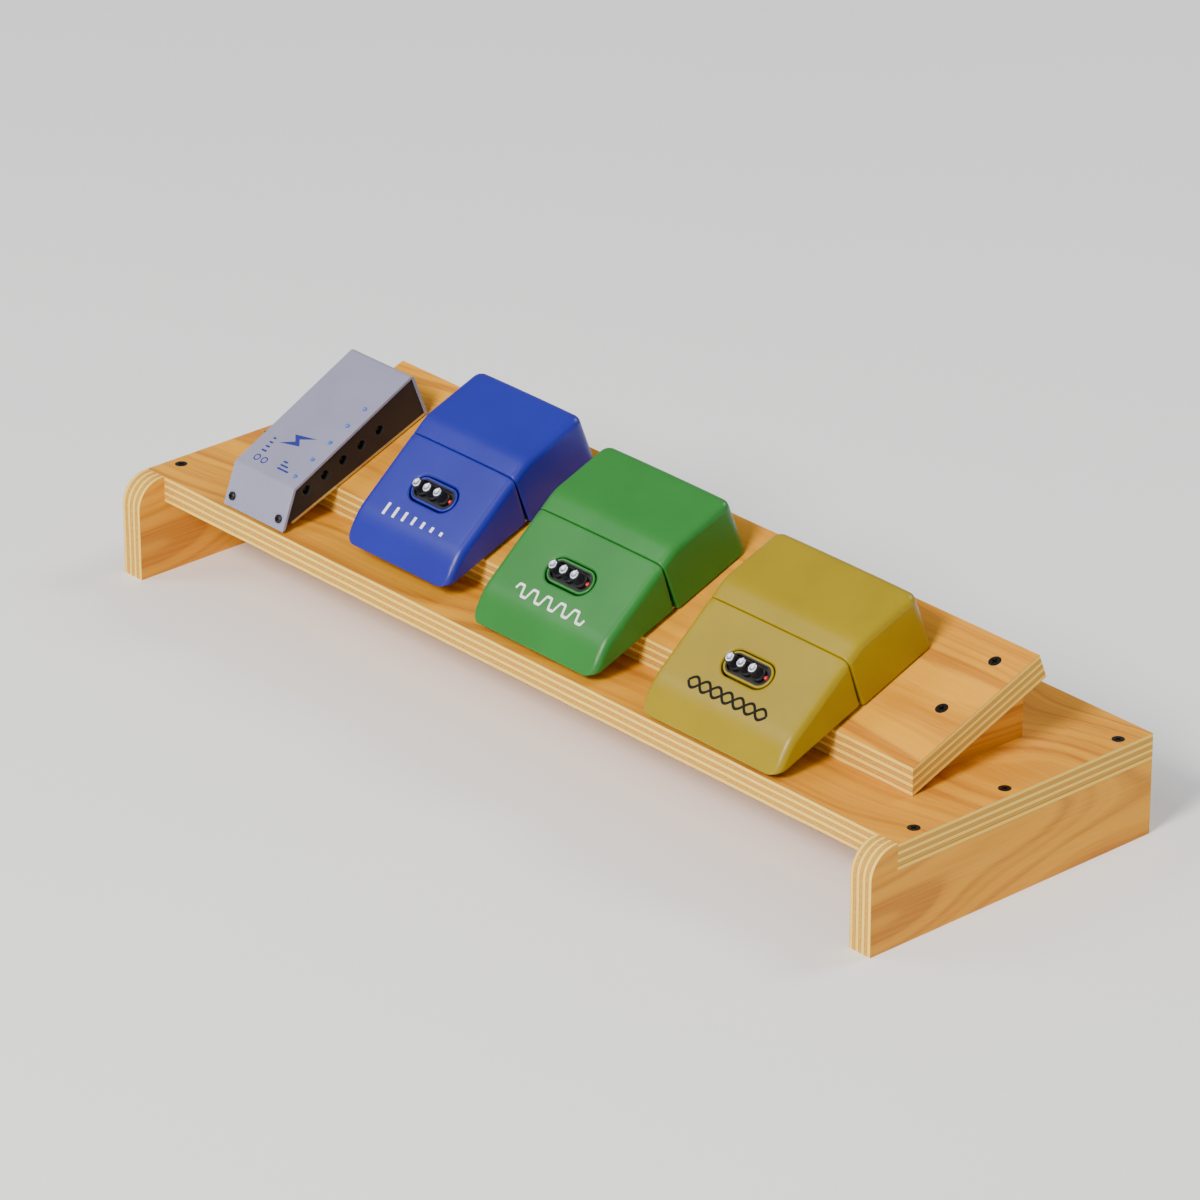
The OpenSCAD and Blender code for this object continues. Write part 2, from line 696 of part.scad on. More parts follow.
// A two-pin mains inlet in the rear face
module supply_mains_inlet() color(BLACK) on_slope(SUPPLY_PLACE)
    translate([0, supply_depth, 14]) rotate([-90, 0, 0]) {
        difference() {
            union() {
                translate([-12, -8, -14]) cube([24, 16, 14.01]);
                translate([-14, -10, 0]) cube([28, 20, 1.4]);
            }
            translate([0, 0, -11]) stadium(4.3, 4.2, 0, 20);
        }
        for (side = [-1, 1]) translate([side * 4.3, 0, -11.5]) cylinder(h = 10.5, r = 1.2);
    }

// --- Assembly ------------------------------------------------------------------------------

// One piece of one effect pedal, in its own frame
module pedal_piece(i, piece) {
    if (piece == "housing") housing(i);
    if (piece == "treadle") treadle(i);
    if (piece == "base_plate") base_plate(i);
    if (piece == "knob_left") knob(0);
    if (piece == "knob_middle") knob(1);
    if (piece == "knob_right") knob(2);
    if (piece == "pots") pots();
    if (piece == "circuit_board") circuit_board(i);
    if (piece == "foot_switch") foot_switch();
    if (piece == "switch_plunger") switch_plunger();
    if (piece == "return_spring") return_spring();
    if (piece == "jacks") jacks(i);
    if (piece == "control_plate") control_plate();
}

deck_panel();
cheek(-1);  // left_cheek
cheek(1);  // right_cheek
rear_tier();
tier_ribs();
wood_screws();
hook_loop_pads();
pedal_base_screws();
pedal_hinge_pins();
pedal_jack_nuts();
pedal_leds();
supply_shell();
supply_end_panels();
supply_base_plate();
supply_screws();
supply_outlets();
supply_transformer();
supply_circuit_board();
supply_leds();
supply_mains_inlet();
for (i = [0:2], piece = PEDAL_PIECES)
    on_slope(PEDAL_PLACES[i]) pedal_piece(i, piece);
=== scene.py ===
"""Looks of the plywood pedalboard: materials, moulded pedal shells, knobs, printed marks, light and camera."""

import json
import math

import bmesh
import bpy
import numpy as np
from mathutils import Matrix, Vector


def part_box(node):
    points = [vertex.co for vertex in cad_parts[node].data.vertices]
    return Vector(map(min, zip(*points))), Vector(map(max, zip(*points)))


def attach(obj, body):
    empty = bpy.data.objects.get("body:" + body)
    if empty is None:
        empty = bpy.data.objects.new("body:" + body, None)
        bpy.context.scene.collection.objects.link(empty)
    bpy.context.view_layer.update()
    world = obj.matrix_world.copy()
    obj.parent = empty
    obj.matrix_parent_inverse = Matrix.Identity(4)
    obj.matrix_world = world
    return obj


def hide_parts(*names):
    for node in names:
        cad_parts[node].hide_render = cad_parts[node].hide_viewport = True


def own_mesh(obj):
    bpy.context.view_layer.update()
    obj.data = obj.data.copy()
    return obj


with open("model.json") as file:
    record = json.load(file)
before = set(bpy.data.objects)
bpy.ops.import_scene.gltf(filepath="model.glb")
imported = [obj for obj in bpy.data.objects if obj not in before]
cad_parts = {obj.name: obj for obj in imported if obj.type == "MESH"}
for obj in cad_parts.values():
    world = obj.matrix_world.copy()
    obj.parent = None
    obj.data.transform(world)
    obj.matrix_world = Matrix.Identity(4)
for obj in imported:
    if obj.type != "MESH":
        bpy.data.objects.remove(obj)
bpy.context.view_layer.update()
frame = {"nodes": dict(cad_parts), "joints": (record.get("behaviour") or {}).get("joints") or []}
NODES = frame["nodes"]
JOINTS = {joint["name"]: joint for joint in frame["joints"]}
MM = 0.001
EFFECTS = ("delay", "overdrive", "chorus")

# --- Places, worked out from the frame -------------------------------------------------------


def lo_hi(node):
    """A node's lowest and highest corner, as vectors."""
    low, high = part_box(node)
    return Vector(low), Vector(high)


DECK_LOW, DECK_HIGH = lo_hi("deck_panel")
PLY = DECK_HIGH.z - DECK_LOW.z
UP_SLOPE_W = -Vector(JOINTS["delay_plunger_travel"]["axis"]).normalized()
ACROSS = Vector((1.0, 0.0, 0.0))
UP_SLOPE_V = UP_SLOPE_W.cross(ACROSS)

# A pedal in millimetres: v runs back from its front edge, w up from the tier
HINGE = (58.0, 20.0)
TOE = (15.0, 16.0)
TOP_TAN = math.tan(math.radians(19.0))
SKIRT_W = 3.0
SPLIT_V = 64.0
GAP = 0.5
CREST_V = 76.0
CREST_W = TOE[1] + (CREST_V - TOE[0]) * TOP_TAN
DEPTH = 118.0
RIM_W = 1.1
CONTROL_V = 39.0
CONTROL_W = TOE[1] + (CONTROL_V - TOE[0]) * TOP_TAN
CONTROL_TILT = math.atan(TOP_TAN)
RECESS_HALF = 9.5
RECESS_R = 6.0
TURRET_R = 7.4
WINDOW_R = 8.3
SUPPLY_RIM_W = 1.1

# Corner radii of a pedal's outline, and the rolls along its top edges
FRONT_CORNER_R = 8.5
SEAM_CORNER_R = 1.2
REAR_CORNER_R = 6.0
SIDE_R = 4.6
SEAM_R = 0.8
FOOT_R = 0.5
WALL = 2.3
TOE_LIP = 0.9

# Holes in a pedal's rear face, and its spring's wire
JACK_INSET = 17.0
JACK_W = 17.0
JACK_HOLE_R = 6.1
POWER_W = 16.0
POWER_HOLE_R = 4.35
HOLE_LENGTH = 8.0
WIRE_R = 0.55


def slope_matrix(origin):
    """From a unit's own frame in millimetres (X, v, w) to the row frame in metres."""
    columns = (ACROSS * MM, UP_SLOPE_V * MM, UP_SLOPE_W * MM, origin)
    return Matrix([[column[row] for column in columns] for row in range(3)] + [[0, 0, 0, 1]])


def pedal_matrix(effect):
    """The frame of one pedal, from where its treadle's hinge is."""
    hinge = Vector(JOINTS[effect + "_treadle_press"]["pos_m"])
    return slope_matrix(hinge - UP_SLOPE_V * (HINGE[0] * MM) - UP_SLOPE_W * (HINGE[1] * MM))


def supply_matrix():
    """The frame of the power supply, from the front lower edge of its shell."""
    low, high = lo_hi("supply_shell")
    foot = Vector(((low.x + high.x) / 2, low.y, low.z))
    return slope_matrix(foot - UP_SLOPE_W * (SUPPLY_RIM_W * MM))


def width_mm(node):
    low, high = lo_hi(node)
    return (high.x - low.x) / MM


CONTROLS = Matrix.Translation((0, CONTROL_V, CONTROL_W)) @ Matrix.Rotation(CONTROL_TILT, 4, "X")

# --- Camera, light and floor -----------------------------------------------------------------

AIM = Vector((0.0, -0.012, 0.062))
CAMERA_PLACE = Vector((2.336, -2.102, 1.574))
LENS_MM = 196.0
SENSOR_MM = 36.0
SKY_STRENGTH = 0.38


def make_camera():
    data = bpy.data.cameras.new("camera")
    data.lens = LENS_MM
    data.sensor_width = SENSOR_MM
    camera = bpy.data.objects.new("camera", data)
    bpy.context.scene.collection.objects.link(camera)
    camera.location = CAMERA_PLACE
    camera.rotation_euler = (AIM - CAMERA_PLACE).to_track_quat("-Z", "Y").to_euler()
    bpy.context.scene.camera = camera


def area_light(name, place, size, watts, colour):
    data = bpy.data.lights.new(name, "AREA")
    data.shape = "DISK"
    data.size = size
    data.energy = watts
    data.color = colour
    light = bpy.data.objects.new(name, data)
    bpy.context.scene.collection.objects.link(light)
    light.location = place
    light.rotation_euler = (AIM - Vector(place)).to_track_quat("-Z", "Y").to_euler()


def make_light():
    area_light("key", (0.7, -2.9, 2.3), 1.2, 175.0, (1.0, 0.955, 0.87))
    area_light("side", (-1.9, -1.9, 2.4), 1.6, 34.0, (0.97, 0.98, 1.0))
    area_light("back", (0.8, 2.4, 2.6), 1.5, 52.0, (1.0, 0.98, 0.95))
    world = bpy.data.worlds.new("studio")
    world.use_nodes = True
    sky = world.node_tree.nodes["Background"]
    sky.inputs["Color"].default_value = (0.93, 0.95, 1.0, 1.0)
    sky.inputs["Strength"].default_value = SKY_STRENGTH
    bpy.context.scene.world = world


# --- Shader helpers --------------------------------------------------------------------------


class Shader:
    """A material under construction: short calls that add nodes and join them."""

    def __init__(self, name, rough=0.5, metallic=0.0, coat=0.0, specular=0.5):
        self.material = bpy.data.materials.new(name)
        self.material.use_nodes = True
        self.tree = self.material.node_tree
        self.surface = self.tree.nodes["Principled BSDF"]
        self.surface.inputs["Roughness"].default_value = rough
        self.surface.inputs["Metallic"].default_value = metallic
        self.surface.inputs["Coat Weight"].default_value = coat
        self.surface.inputs["Specular IOR Level"].default_value = specular
        self.place = self.add("ShaderNodeTexCoord").outputs["Object"]

    def add(self, kind, inputs=None, **settings):
        node = self.tree.nodes.new(kind)
        for key, value in settings.items():
            setattr(node, key, value)
        for key, value in (inputs or {}).items():
            if isinstance(value, bpy.types.NodeSocket):
                self.tree.links.new(value, node.inputs[key])
            else:
                node.inputs[key].default_value = value
        return node

    def math(self, operation, a, b=0.0, c=0.0):
        return self.add("ShaderNodeMath", {0: a, 1: b, 2: c}, operation=operation).outputs[0]

    def dot(self, vector, direction):
        node = self.add("ShaderNodeVectorMath", {0: vector, 1: direction}, operation="DOT_PRODUCT")
        return node.outputs["Value"]

    def combine(self, x, y, z):
        return self.add("ShaderNodeCombineXYZ", {0: x, 1: y, 2: z}).outputs[0]

    def stretch(self, vector, scale):
        node = self.add("ShaderNodeVectorMath", {0: vector, 1: scale}, operation="MULTIPLY")
        return node.outputs[0]

    def noise(self, vector, scale, detail, rough):
        node = self.add(
            "ShaderNodeTexNoise", {"Vector": vector, "Scale": scale, "Detail": detail, "Roughness": rough}
        )
        return node.outputs[0]

    def noise_1d(self, value, scale, detail, rough):
        node = self.add(
            "ShaderNodeTexNoise",
            {"W": value, "Scale": scale, "Detail": detail, "Roughness": rough},
            noise_dimensions="1D",
        )
        return node.outputs[0]

    def ramp(self, value, stops):
        node = self.add("ShaderNodeValToRGB", {0: value})
        elements = node.color_ramp.elements
        while len(elements) < len(stops):
            elements.new(0.5)
        for element, (position, colour) in zip(elements, stops):
            element.position = position
            element.color = (*colour, 1.0) if isinstance(colour, tuple) else (colour, colour, colour, 1.0)
        return node.outputs[0]

    def mix(self, factor, a, b):
        node = self.add("ShaderNodeMix", data_type="RGBA")
        for key, value in ((0, factor), (6, a), (7, b)):
            if isinstance(value, bpy.types.NodeSocket):
                self.tree.links.new(value, node.inputs[key])
            else:
                node.inputs[key].default_value = (*value, 1.0) if isinstance(value, tuple) else value
        return node.outputs[2]

    def colour(self, value):
        self.tree.links.new(value, self.surface.inputs["Base Color"])

    def rough(self, value):
        self.tree.links.new(value, self.surface.inputs["Roughness"])

    def bump(self, height, distance, strength):
        node = self.add("ShaderNodeBump", {"Height": height, "Distance": distance, "Strength": strength})
        self.tree.links.new(node.outputs[0], self.surface.inputs["Normal"])


# --- Plywood ---------------------------------------------------------------------------------

EARLY_WOOD = (0.80, 0.355, 0.010)
LATE_WOOD = (0.49, 0.165, 0.005)
PALE_FIBRE = (0.86, 0.42, 0.07)
WARM_PATCH = (0.53, 0.185, 0.013)
DARK_FLECK = (0.24, 0.08, 0.012)
EDGE_LIGHT = (1.0, 0.70, 0.12)
EDGE_DARK = (0.56, 0.27, 0.026)
EDGE_STREAK = (0.74, 0.36, 0.06)
EDGE_SPECK = (0.80, 0.43, 0.10)
GLUE = (0.10, 0.032, 0.008)
CORE_GAP = (0.12, 0.06, 0.025)
PLY_EDGE_ROUND = 0.0006
PLIES = 7


def veneer(name, along, across, seed, knot=None):
    """A face veneer of rotary-cut pine: flowing rings along one direction."""
    s = Shader(name, rough=0.52, specular=0.2)
    u = s.dot(s.place, along)
    t = s.dot(s.place, across)
    flat = s.combine(u, t, seed)
    bend = s.noise(s.stretch(flat, (2.2, 7.0, 1.0)), 1.0, 2.0, 0.45)
    bend_fine = s.noise(s.stretch(flat, (7.0, 30.0, 1.0)), 1.0, 2.0, 0.5)
    depth = s.math("MULTIPLY_ADD", bend, 0.20, s.math("MULTIPLY", u, 0.10))
    side = s.math("ADD", t, s.math("MULTIPLY", bend_fine, 0.006))
    if knot:
        away = s.add("ShaderNodeVectorMath", {0: s.place, 1: knot}, operation="DISTANCE").outputs["Value"]
        swirl = s.math("POWER", 2.718, s.math("MULTIPLY", s.math("MULTIPLY", away, away), -900.0))
        depth = s.math("MULTIPLY_ADD", swirl, 0.035, depth)
    ring = s.math("SQRT", s.math("ADD", s.math("MULTIPLY", side, side), s.math("MULTIPLY", depth, depth)))
    growth = s.noise_1d(s.math("ADD", ring, seed), 120.0, 2.0, 0.62)
    late = s.ramp(growth, ((0.38, 0.0), (0.56, 0.55), (0.66, 1.0)))
    fibre = s.noise(s.stretch(flat, (14.0, 900.0, 1.0)), 1.0, 3.0, 0.6)
    patch = s.noise(s.stretch(flat, (3.0, 11.0, 1.0)), 1.0, 1.0, 0.5)
    wood = s.mix(late, EARLY_WOOD, LATE_WOOD)
    wood = s.mix(s.ramp(fibre, ((0.30, 0.0), (0.75, 0.42))), wood, PALE_FIBRE)
    wood = s.mix(s.ramp(patch, ((0.42, 0.0), (0.68, 0.32))), wood, WARM_PATCH)
    fleck = s.noise(s.stretch(flat, (60.0, 1500.0, 1.0)), 1.0, 1.0, 0.5)
    wood = s.mix(s.ramp(fleck, ((0.70, 0.0), (0.80, 0.45))), wood, DARK_FLECK)
    s.colour(wood)
    s.rough(s.ramp(fibre, ((0.2, 0.40), (0.8, 0.55))))
    s.bump(s.math("MULTIPLY_ADD", fibre, 0.6, s.math("MULTIPLY", late, 0.4)), 0.00025, 0.55)
    return s.material


def ply_edge(name, through, start, along, repeat=None):
    """A cut edge of plywood: plies in turn along and across the grain, with thin glue lines."""
    s = Shader(name, rough=0.68, specular=0.16)
    t = s.math("SUBTRACT", s.dot(s.place, through), start)
    if repeat:
        t = s.math("FLOORED_MODULO", t, repeat)
    u = s.dot(s.place, along)

    def grain(along_scale, through_scale, shift, detail, rough):
        flat = s.combine(s.math("MULTIPLY", u, along_scale), s.math("MULTIPLY", t, through_scale), shift)
        return s.noise(flat, 1.0, detail, rough)

    wobble = grain(26.0, 60.0, 0.0, 2.0, 0.5)
    layer = s.math("MULTIPLY_ADD", s.math("SUBTRACT", wobble, 0.5), 0.34, s.math("MULTIPLY", t, PLIES / PLY))
    within = s.math("FRACT", layer)
    cross = s.math("GREATER_THAN", s.math("FRACT", s.math("MULTIPLY", layer, 0.5)), 0.5)
    from_line = s.math("ABSOLUTE", s.math("SUBTRACT", within, 0.5))
    glue = s.ramp(from_line, ((0.425, 0.0), (0.485, 0.9)))
    long_streak = grain(22.0, 2600.0, 0.0, 3.0, 0.6)
    end_speck = grain(700.0, 900.0, 3.0, 3.0, 0.65)
    light = s.mix(s.ramp(long_streak, ((0.3, 0.0), (0.72, 0.55))), EDGE_LIGHT, EDGE_STREAK)
    dark = s.mix(s.ramp(end_speck, ((0.35, 0.0), (0.7, 0.8))), EDGE_DARK, EDGE_SPECK)
    body = s.mix(cross, light, dark)
    body = s.mix(glue, body, GLUE)
    gap = s.ramp(grain(9.0, 260.0, 7.0, 1.0, 0.5), ((0.735, 0.0), (0.765, 1.0)))
    gap = s.math("MULTIPLY", gap, cross)
    s.colour(s.mix(gap, body, CORE_GAP))
    height = s.math("ADD", s.math("MULTIPLY", end_speck, 0.35), s.math("MULTIPLY", glue, -0.45))
    s.bump(s.math("SUBTRACT", height, s.math("MULTIPLY", gap, 2.0)), 0.0004, 0.6)
    return s.material


def assign_by_normal(obj, face_normal, face_material, edge_material):
    """Veneer on the two broad faces, ply edges everywhere else."""
    mesh = obj.data
    mesh.materials.clear()
    mesh.materials.append(face_material)
    mesh.materials.append(edge_material)
    for polygon in mesh.polygons:
        polygon.material_index = 0 if abs(polygon.normal.dot(face_normal)) > 0.9 else 1


def soften(obj, width, segments=2):
    """A small round on every sharp edge."""
    bevel = obj.modifiers.new("edge", "BEVEL")
    bevel.width = width
    bevel.segments = segments
    bevel.limit_method = "ANGLE"
    bevel.angle_limit = math.radians(35.0)
    bevel.miter_outer = "MITER_ARC"


def finish_plywood():
    """Veneers, ply edges and rounded edges for the wooden nodes."""
    long_x = (1.0, 0.0, 0.0)
    deep_y = (0.0, 1.0, 0.0)
    up_z = (0.0, 0.0, 1.0)
    deck_face = veneer("deck_veneer", long_x, deep_y, 0.31, knot=(0.235, 0.045, DECK_HIGH.z))
    deck_edge = ply_edge("deck_edge", up_z, DECK_LOW.z, long_x)
    assign_by_normal(NODES["deck_panel"], Vector(up_z), deck_face, deck_edge)
    cheek_face = veneer("cheek_veneer", deep_y, up_z, 2.17)
    for node in ("left_cheek", "right_cheek"):
        edge = ply_edge(node + "_edge", long_x, lo_hi(node)[0].x, (0.0, 0.7, 0.7))
        assign_by_normal(NODES[node], ACROSS, cheek_face, edge)
    tier_low, _ = lo_hi("rear_tier")
    tier_foot = Vector((0.0, tier_low.y, tier_low.z))
    tier_face = veneer("tier_veneer", long_x, tuple(UP_SLOPE_V), 4.72)
    tier_edge = ply_edge("tier_edge", tuple(UP_SLOPE_W), tier_foot.dot(UP_SLOPE_W), long_x)
    assign_by_normal(NODES["rear_tier"], UP_SLOPE_W, tier_face, tier_edge)
    rib_low, rib_high = lo_hi("tier_ribs")
    spacing = (rib_high.x - rib_low.x - PLY) / 3
    rib_face = veneer("rib_veneer", deep_y, up_z, 6.4)
    rib_edge = ply_edge("rib_edge", long_x, rib_low.x, (0.0, 0.7, 0.7), repeat=spacing)
    assign_by_normal(NODES["tier_ribs"], ACROSS, rib_face, rib_edge)
    for node in ("deck_panel", "left_cheek", "right_cheek", "rear_tier", "tier_ribs"):
        soften(NODES[node], PLY_EDGE_ROUND)


# --- Plain materials -------------------------------------------------------------------------


def moulded(name, base, deep, rough=0.34):
    """Satin moulded plastic: a faint orange peel, soft mottling and small scuffs."""
    s = Shader(name, rough=rough, coat=0.06, specular=0.36)
    s.surface.inputs["Coat Roughness"].default_value = 0.22
    cloud = s.noise(s.place, 24.0, 3.0, 0.55)
    s.colour(s.mix(s.ramp(cloud, ((0.35, 0.0), (0.70, 0.75))), base, deep))
    peel = s.noise(s.place, 1500.0, 2.0, 0.5)
    scuff = s.noise(s.stretch(s.place, (900.0, 120.0, 120.0)), 1.0, 2.0, 0.6)
    wear = s.ramp(scuff, ((0.64, 0.0), (0.80, 1.0)))
    s.rough(s.math("ADD", rough, s.math("MULTIPLY_ADD", wear, 0.16, s.math("MULTIPLY", cloud, 0.08))))
    s.bump(s.math("SUBTRACT", peel, s.math("MULTIPLY", wear, 0.3)), 0.00006, 0.6)
    return s.material


def painted(name, base, second, grain=2600.0, rough=0.42, depth=0.00008, gloss=0.32):
    """Powder coat: a fine pebbled skin."""
    s = Shader(name, rough=rough, specular=gloss)
    pebble = s.noise(s.place, grain, 2.0, 0.55)
    cloud = s.noise(s.place, 30.0, 3.0, 0.5)
    s.colour(s.mix(s.ramp(cloud, ((0.3, 0.0), (0.75, 1.0))), base, second))
    s.rough(s.math("MULTIPLY_ADD", pebble, 0.16, rough - 0.08))
    s.bump(pebble, depth, 0.7)
    return s.material


def bare_metal(name, base, rough, streak=(40.0, 900.0, 900.0), dark=0.75):
    """Plated or turned metal with a directional grain and light tarnish."""
    s = Shader(name, rough=rough, metallic=1.0)
    grain = s.noise(s.stretch(s.place, streak), 1.0, 3.0, 0.6)
    cloud = s.noise(s.place, 90.0, 3.0, 0.6)
    worn = tuple(channel * dark for channel in base)
    s.colour(s.mix(s.ramp(cloud, ((0.35, 0.0), (0.75, 0.8))), base, worn))
    s.rough(s.math("MULTIPLY_ADD", grain, 0.22, rough - 0.08))
    s.bump(grain, 0.00002, 0.5)
    return s.material


def lens(name, colour, glow):
    """A small coloured lens."""
    s = Shader(name, rough=0.12, coat=0.6)
    ripple = s.noise(s.place, 800.0, 2.0, 0.5)
    dark = tuple(channel * 0.55 for channel in colour)
    s.colour(s.mix(ripple, colour, dark))
    s.surface.inputs["Emission Color"].default_value = (*colour, 1.0)
    s.surface.inputs["Emission Strength"].default_value = glow
    s.bump(ripple, 0.00003, 0.4)
    return s.material


def circuit_green(name):
    """Solder mask with faint tracks and bright pads."""
    s = Shader(name, rough=0.3, coat=0.3)
    grid = s.add("ShaderNodeTexBrick", {"Vector": s.place, "Scale": 260.0, "Mortar Size": 0.03})
    tracks = s.mix(grid.outputs["Fac"], (0.02, 0.12, 0.055), (0.05, 0.25, 0.11))
    dots = s.add("ShaderNodeTexVoronoi", {"Vector": s.place, "Scale": 420.0})
    pads = s.ramp(dots.outputs["Distance"], ((0.10, 1.0), (0.16, 0.0)))
    s.colour(s.mix(pads, tracks, (0.62, 0.60, 0.52)))
    s.bump(pads, 0.00008, 0.5)
    return s.material


def woven(name, base):
    """Hook and loop tape: a felted nap."""
    s = Shader(name, rough=0.95)
    fuzz = s.noise(s.place, 1800.0, 4.0, 0.7)
    s.colour(s.mix(fuzz, base, tuple(channel * 2.6 + 0.01 for channel in base)))
    s.bump(fuzz, 0.0004, 0.9)
    return s.material


def wound_copper(name):
    """Enamelled wire wound round a ring core."""
    s = Shader(name, rough=0.3, metallic=0.8)
    turns = s.add("ShaderNodeTexWave", {"Vector": s.place, "Scale": 420.0, "Distortion": 1.5})
    s.colour(s.mix(turns.outputs["Fac"], (0.30, 0.11, 0.035), (0.72, 0.33, 0.12)))
    s.bump(turns.outputs["Fac"], 0.0003, 0.8)
    return s.material


def printed(name, base, second):
    """Matt ink."""
    return painted(name, base, second, 900.0, 0.6, 0.00003, gloss=0.12)


def make_materials():
    return {
        "delay": moulded("delay_plastic", (0.013, 0.016, 0.30), (0.010, 0.012, 0.25)),
        "overdrive": moulded("overdrive_plastic", (0.022, 0.185, 0.028), (0.017, 0.155, 0.023)),
        "chorus": moulded("chorus_plastic", (0.315, 0.225, 0.001), (0.270, 0.188, 0.001)),
        "grey_paint": painted("grey_powder_coat", (0.270, 0.270, 0.380), (0.242, 0.242, 0.340)),
        "black_paint": painted("black_powder_coat", (0.009, 0.010, 0.016), (0.014, 0.015, 0.023)),
        "black_plastic": painted("black_moulding", (0.014, 0.014, 0.016), (0.024, 0.024, 0.028), 1400.0, 0.5),
        "knob_black": painted("knob_black", (0.012, 0.012, 0.015), (0.020, 0.020, 0.026), 1100.0, 0.36, 0.00004),
        "screw_black": bare_metal("black_screw", (0.045, 0.045, 0.048), 0.42),
        "zinc": bare_metal("zinc_plate", (0.60, 0.61, 0.63), 0.36),
        "nickel": bare_metal("nickel_plate", (0.74, 0.73, 0.70), 0.2, (300.0, 300.0, 300.0)),
        "spring": bare_metal("spring_wire", (0.50, 0.50, 0.52), 0.3),
        "knob_cap": bare_metal("knob_cap", (0.66, 0.655, 0.74), 0.27, (1200.0, 60.0, 60.0)),
        "red_lens": lens("red_lens", (0.55, 0.015, 0.015), 0.35),
        "blue_lens": lens("blue_lens", (0.06, 0.16, 0.62), 0.15),
        "circuit": circuit_green("circuit_board"),
        "tape": woven("hook_and_loop_tape", (0.012, 0.012, 0.013)),
        "copper": wound_copper("wound_copper"),
        "print_white": printed("white_print", (0.93, 0.94, 0.96), (0.86, 0.88, 0.91)),
        "print_black": printed("black_print", (0.008, 0.008, 0.007), (0.013, 0.013, 0.011)),
        "print_blue": printed("blue_print", (0.020, 0.028, 0.20), (0.028, 0.038, 0.25)),
    }


# --- Mesh helpers ----------------------------------------------------------------------------


def closed_mesh(name, vertices, faces, matrix=None):
    """A mesh whose faces all look outwards."""
    mesh = bpy.data.meshes.new(name)
    mesh.from_pydata([tuple(vertex) for vertex in vertices], [], faces)
    if matrix:
        mesh.transform(matrix)
    work = bmesh.new()
    work.from_mesh(mesh)
    bmesh.ops.recalc_face_normals(work, faces=work.faces)
    work.to_mesh(mesh)
    work.free()
    return mesh


def mesh_object(name, vertices, faces, material, body, slot, matrix=None, smooth=True):
    """A new piece in the row frame, from vertices in its own frame."""
    mesh = closed_mesh(name, vertices, faces, matrix)
    mesh.materials.append(material)
    mesh.polygons.foreach_set("use_smooth", [smooth] * len(mesh.polygons))
    mesh.update()
    piece = bpy.data.objects.new(name, mesh)
    bpy.context.scene.collection.objects.link(piece)
    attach(piece, body)
    return piece


def loft(rings, closed=False):
    """Vertices and quads that join rings of the same length in order."""
    count = len(rings[0])
    vertices = [tuple(point) for ring in rings for point in ring]
    faces = []
    for k in range(len(rings) if closed else len(rings) - 1):
        start, after = k * count, (k + 1) % len(rings) * count
        for j in range(count):
            n = (j + 1) % count
            faces.append((start + j, start + n, after + n, after + j))
    return vertices, faces


def sd_box(x, y, half, y0, y1, r_front, r_rear):
    """Distance outside a rounded rectangle, with its own corner radii at front and rear."""
    middle = (y0 + y1) / 2
    r = np.where(y < middle, r_front, r_rear)
    qx = np.abs(x) - half + r
    qy = np.abs(y - middle) - (y1 - y0) / 2 + r
    outside = np.hypot(np.maximum(qx, 0), np.maximum(qy, 0))
    return outside + np.minimum(np.maximum(qx, qy), 0) - r


def sd_stadium(x, y, half, centre, squash=1.0):
    """Distance from the middle line of a stadium along X."""
    return np.hypot(x - np.clip(x, -half, half), (y - centre) / squash)


def reach(distance, level, centre, dx, dy, far=140.0):
    """Where rays from the centre meet distance == level; level may differ for each ray."""
    near = np.zeros_like(dx)
    limit = np.full_like(dx, far)
    for _ in range(36):
        middle = (near + limit) / 2
        inside = distance(middle * dx, centre + middle * dy) < level
        near = np.where(inside, middle, near)
        limit = np.where(inside, limit, middle)
    return near * dx, centre + near * dy


def soft_min(a, b, k):
    """The smaller of two heights, with the crease between them rounded."""
    h = np.clip(0.5 + 0.5 * (b - a) / k, 0.0, 1.0)
    return b * (1 - h) + a * h - k * h * (1 - h)


def rolled(inset, radius):
    """How far a surface drops at that distance inside an edge of that radius."""
    u = np.clip(1 - inset / np.maximum(radius, 1e-6), 0.0, 1.0)
    return radius * (1 - np.sqrt(np.maximum(1 - u * u, 0.0)))


# --- Effect pedals ---------------------------------------------------------------------------

COLUMNS = 224
KNOB_RADIUS = 4.0
KNOB_STEP = 0.55
KNOB_BOTTOM = -2.3
KNOB_TOP = 6.5


def pedal_top(x, v, half):
    """Height of a pedal's outer skin, with a soft crease at the toe and a slight crown."""
    toe = SKIRT_W + TOE_LIP + (v - 0.6) * (TOE[1] - SKIRT_W - TOE_LIP) / (TOE[0] - 0.6)
    slope = TOE[1] + (v - TOE[0]) * TOP_TAN
    height = soft_min(soft_min(toe, slope, 2.6), CREST_W + 0.0 * v, 1.4)
    return height - 0.55 * (np.abs(x) / half) ** 3


def even_directions(distance, centre):
    """Ray directions that meet the outline at even steps along it."""
    angle = np.linspace(0, 2 * math.pi, 4001)
    x, y = reach(distance, 0.0, centre, np.cos(angle), np.sin(angle))
    length = np.concatenate([[0], np.cumsum(np.hypot(np.diff(x), np.diff(y)))])
    steps = np.interp(np.arange(COLUMNS) / COLUMNS * length[-1], length, angle)
    return np.cos(steps), np.sin(steps)


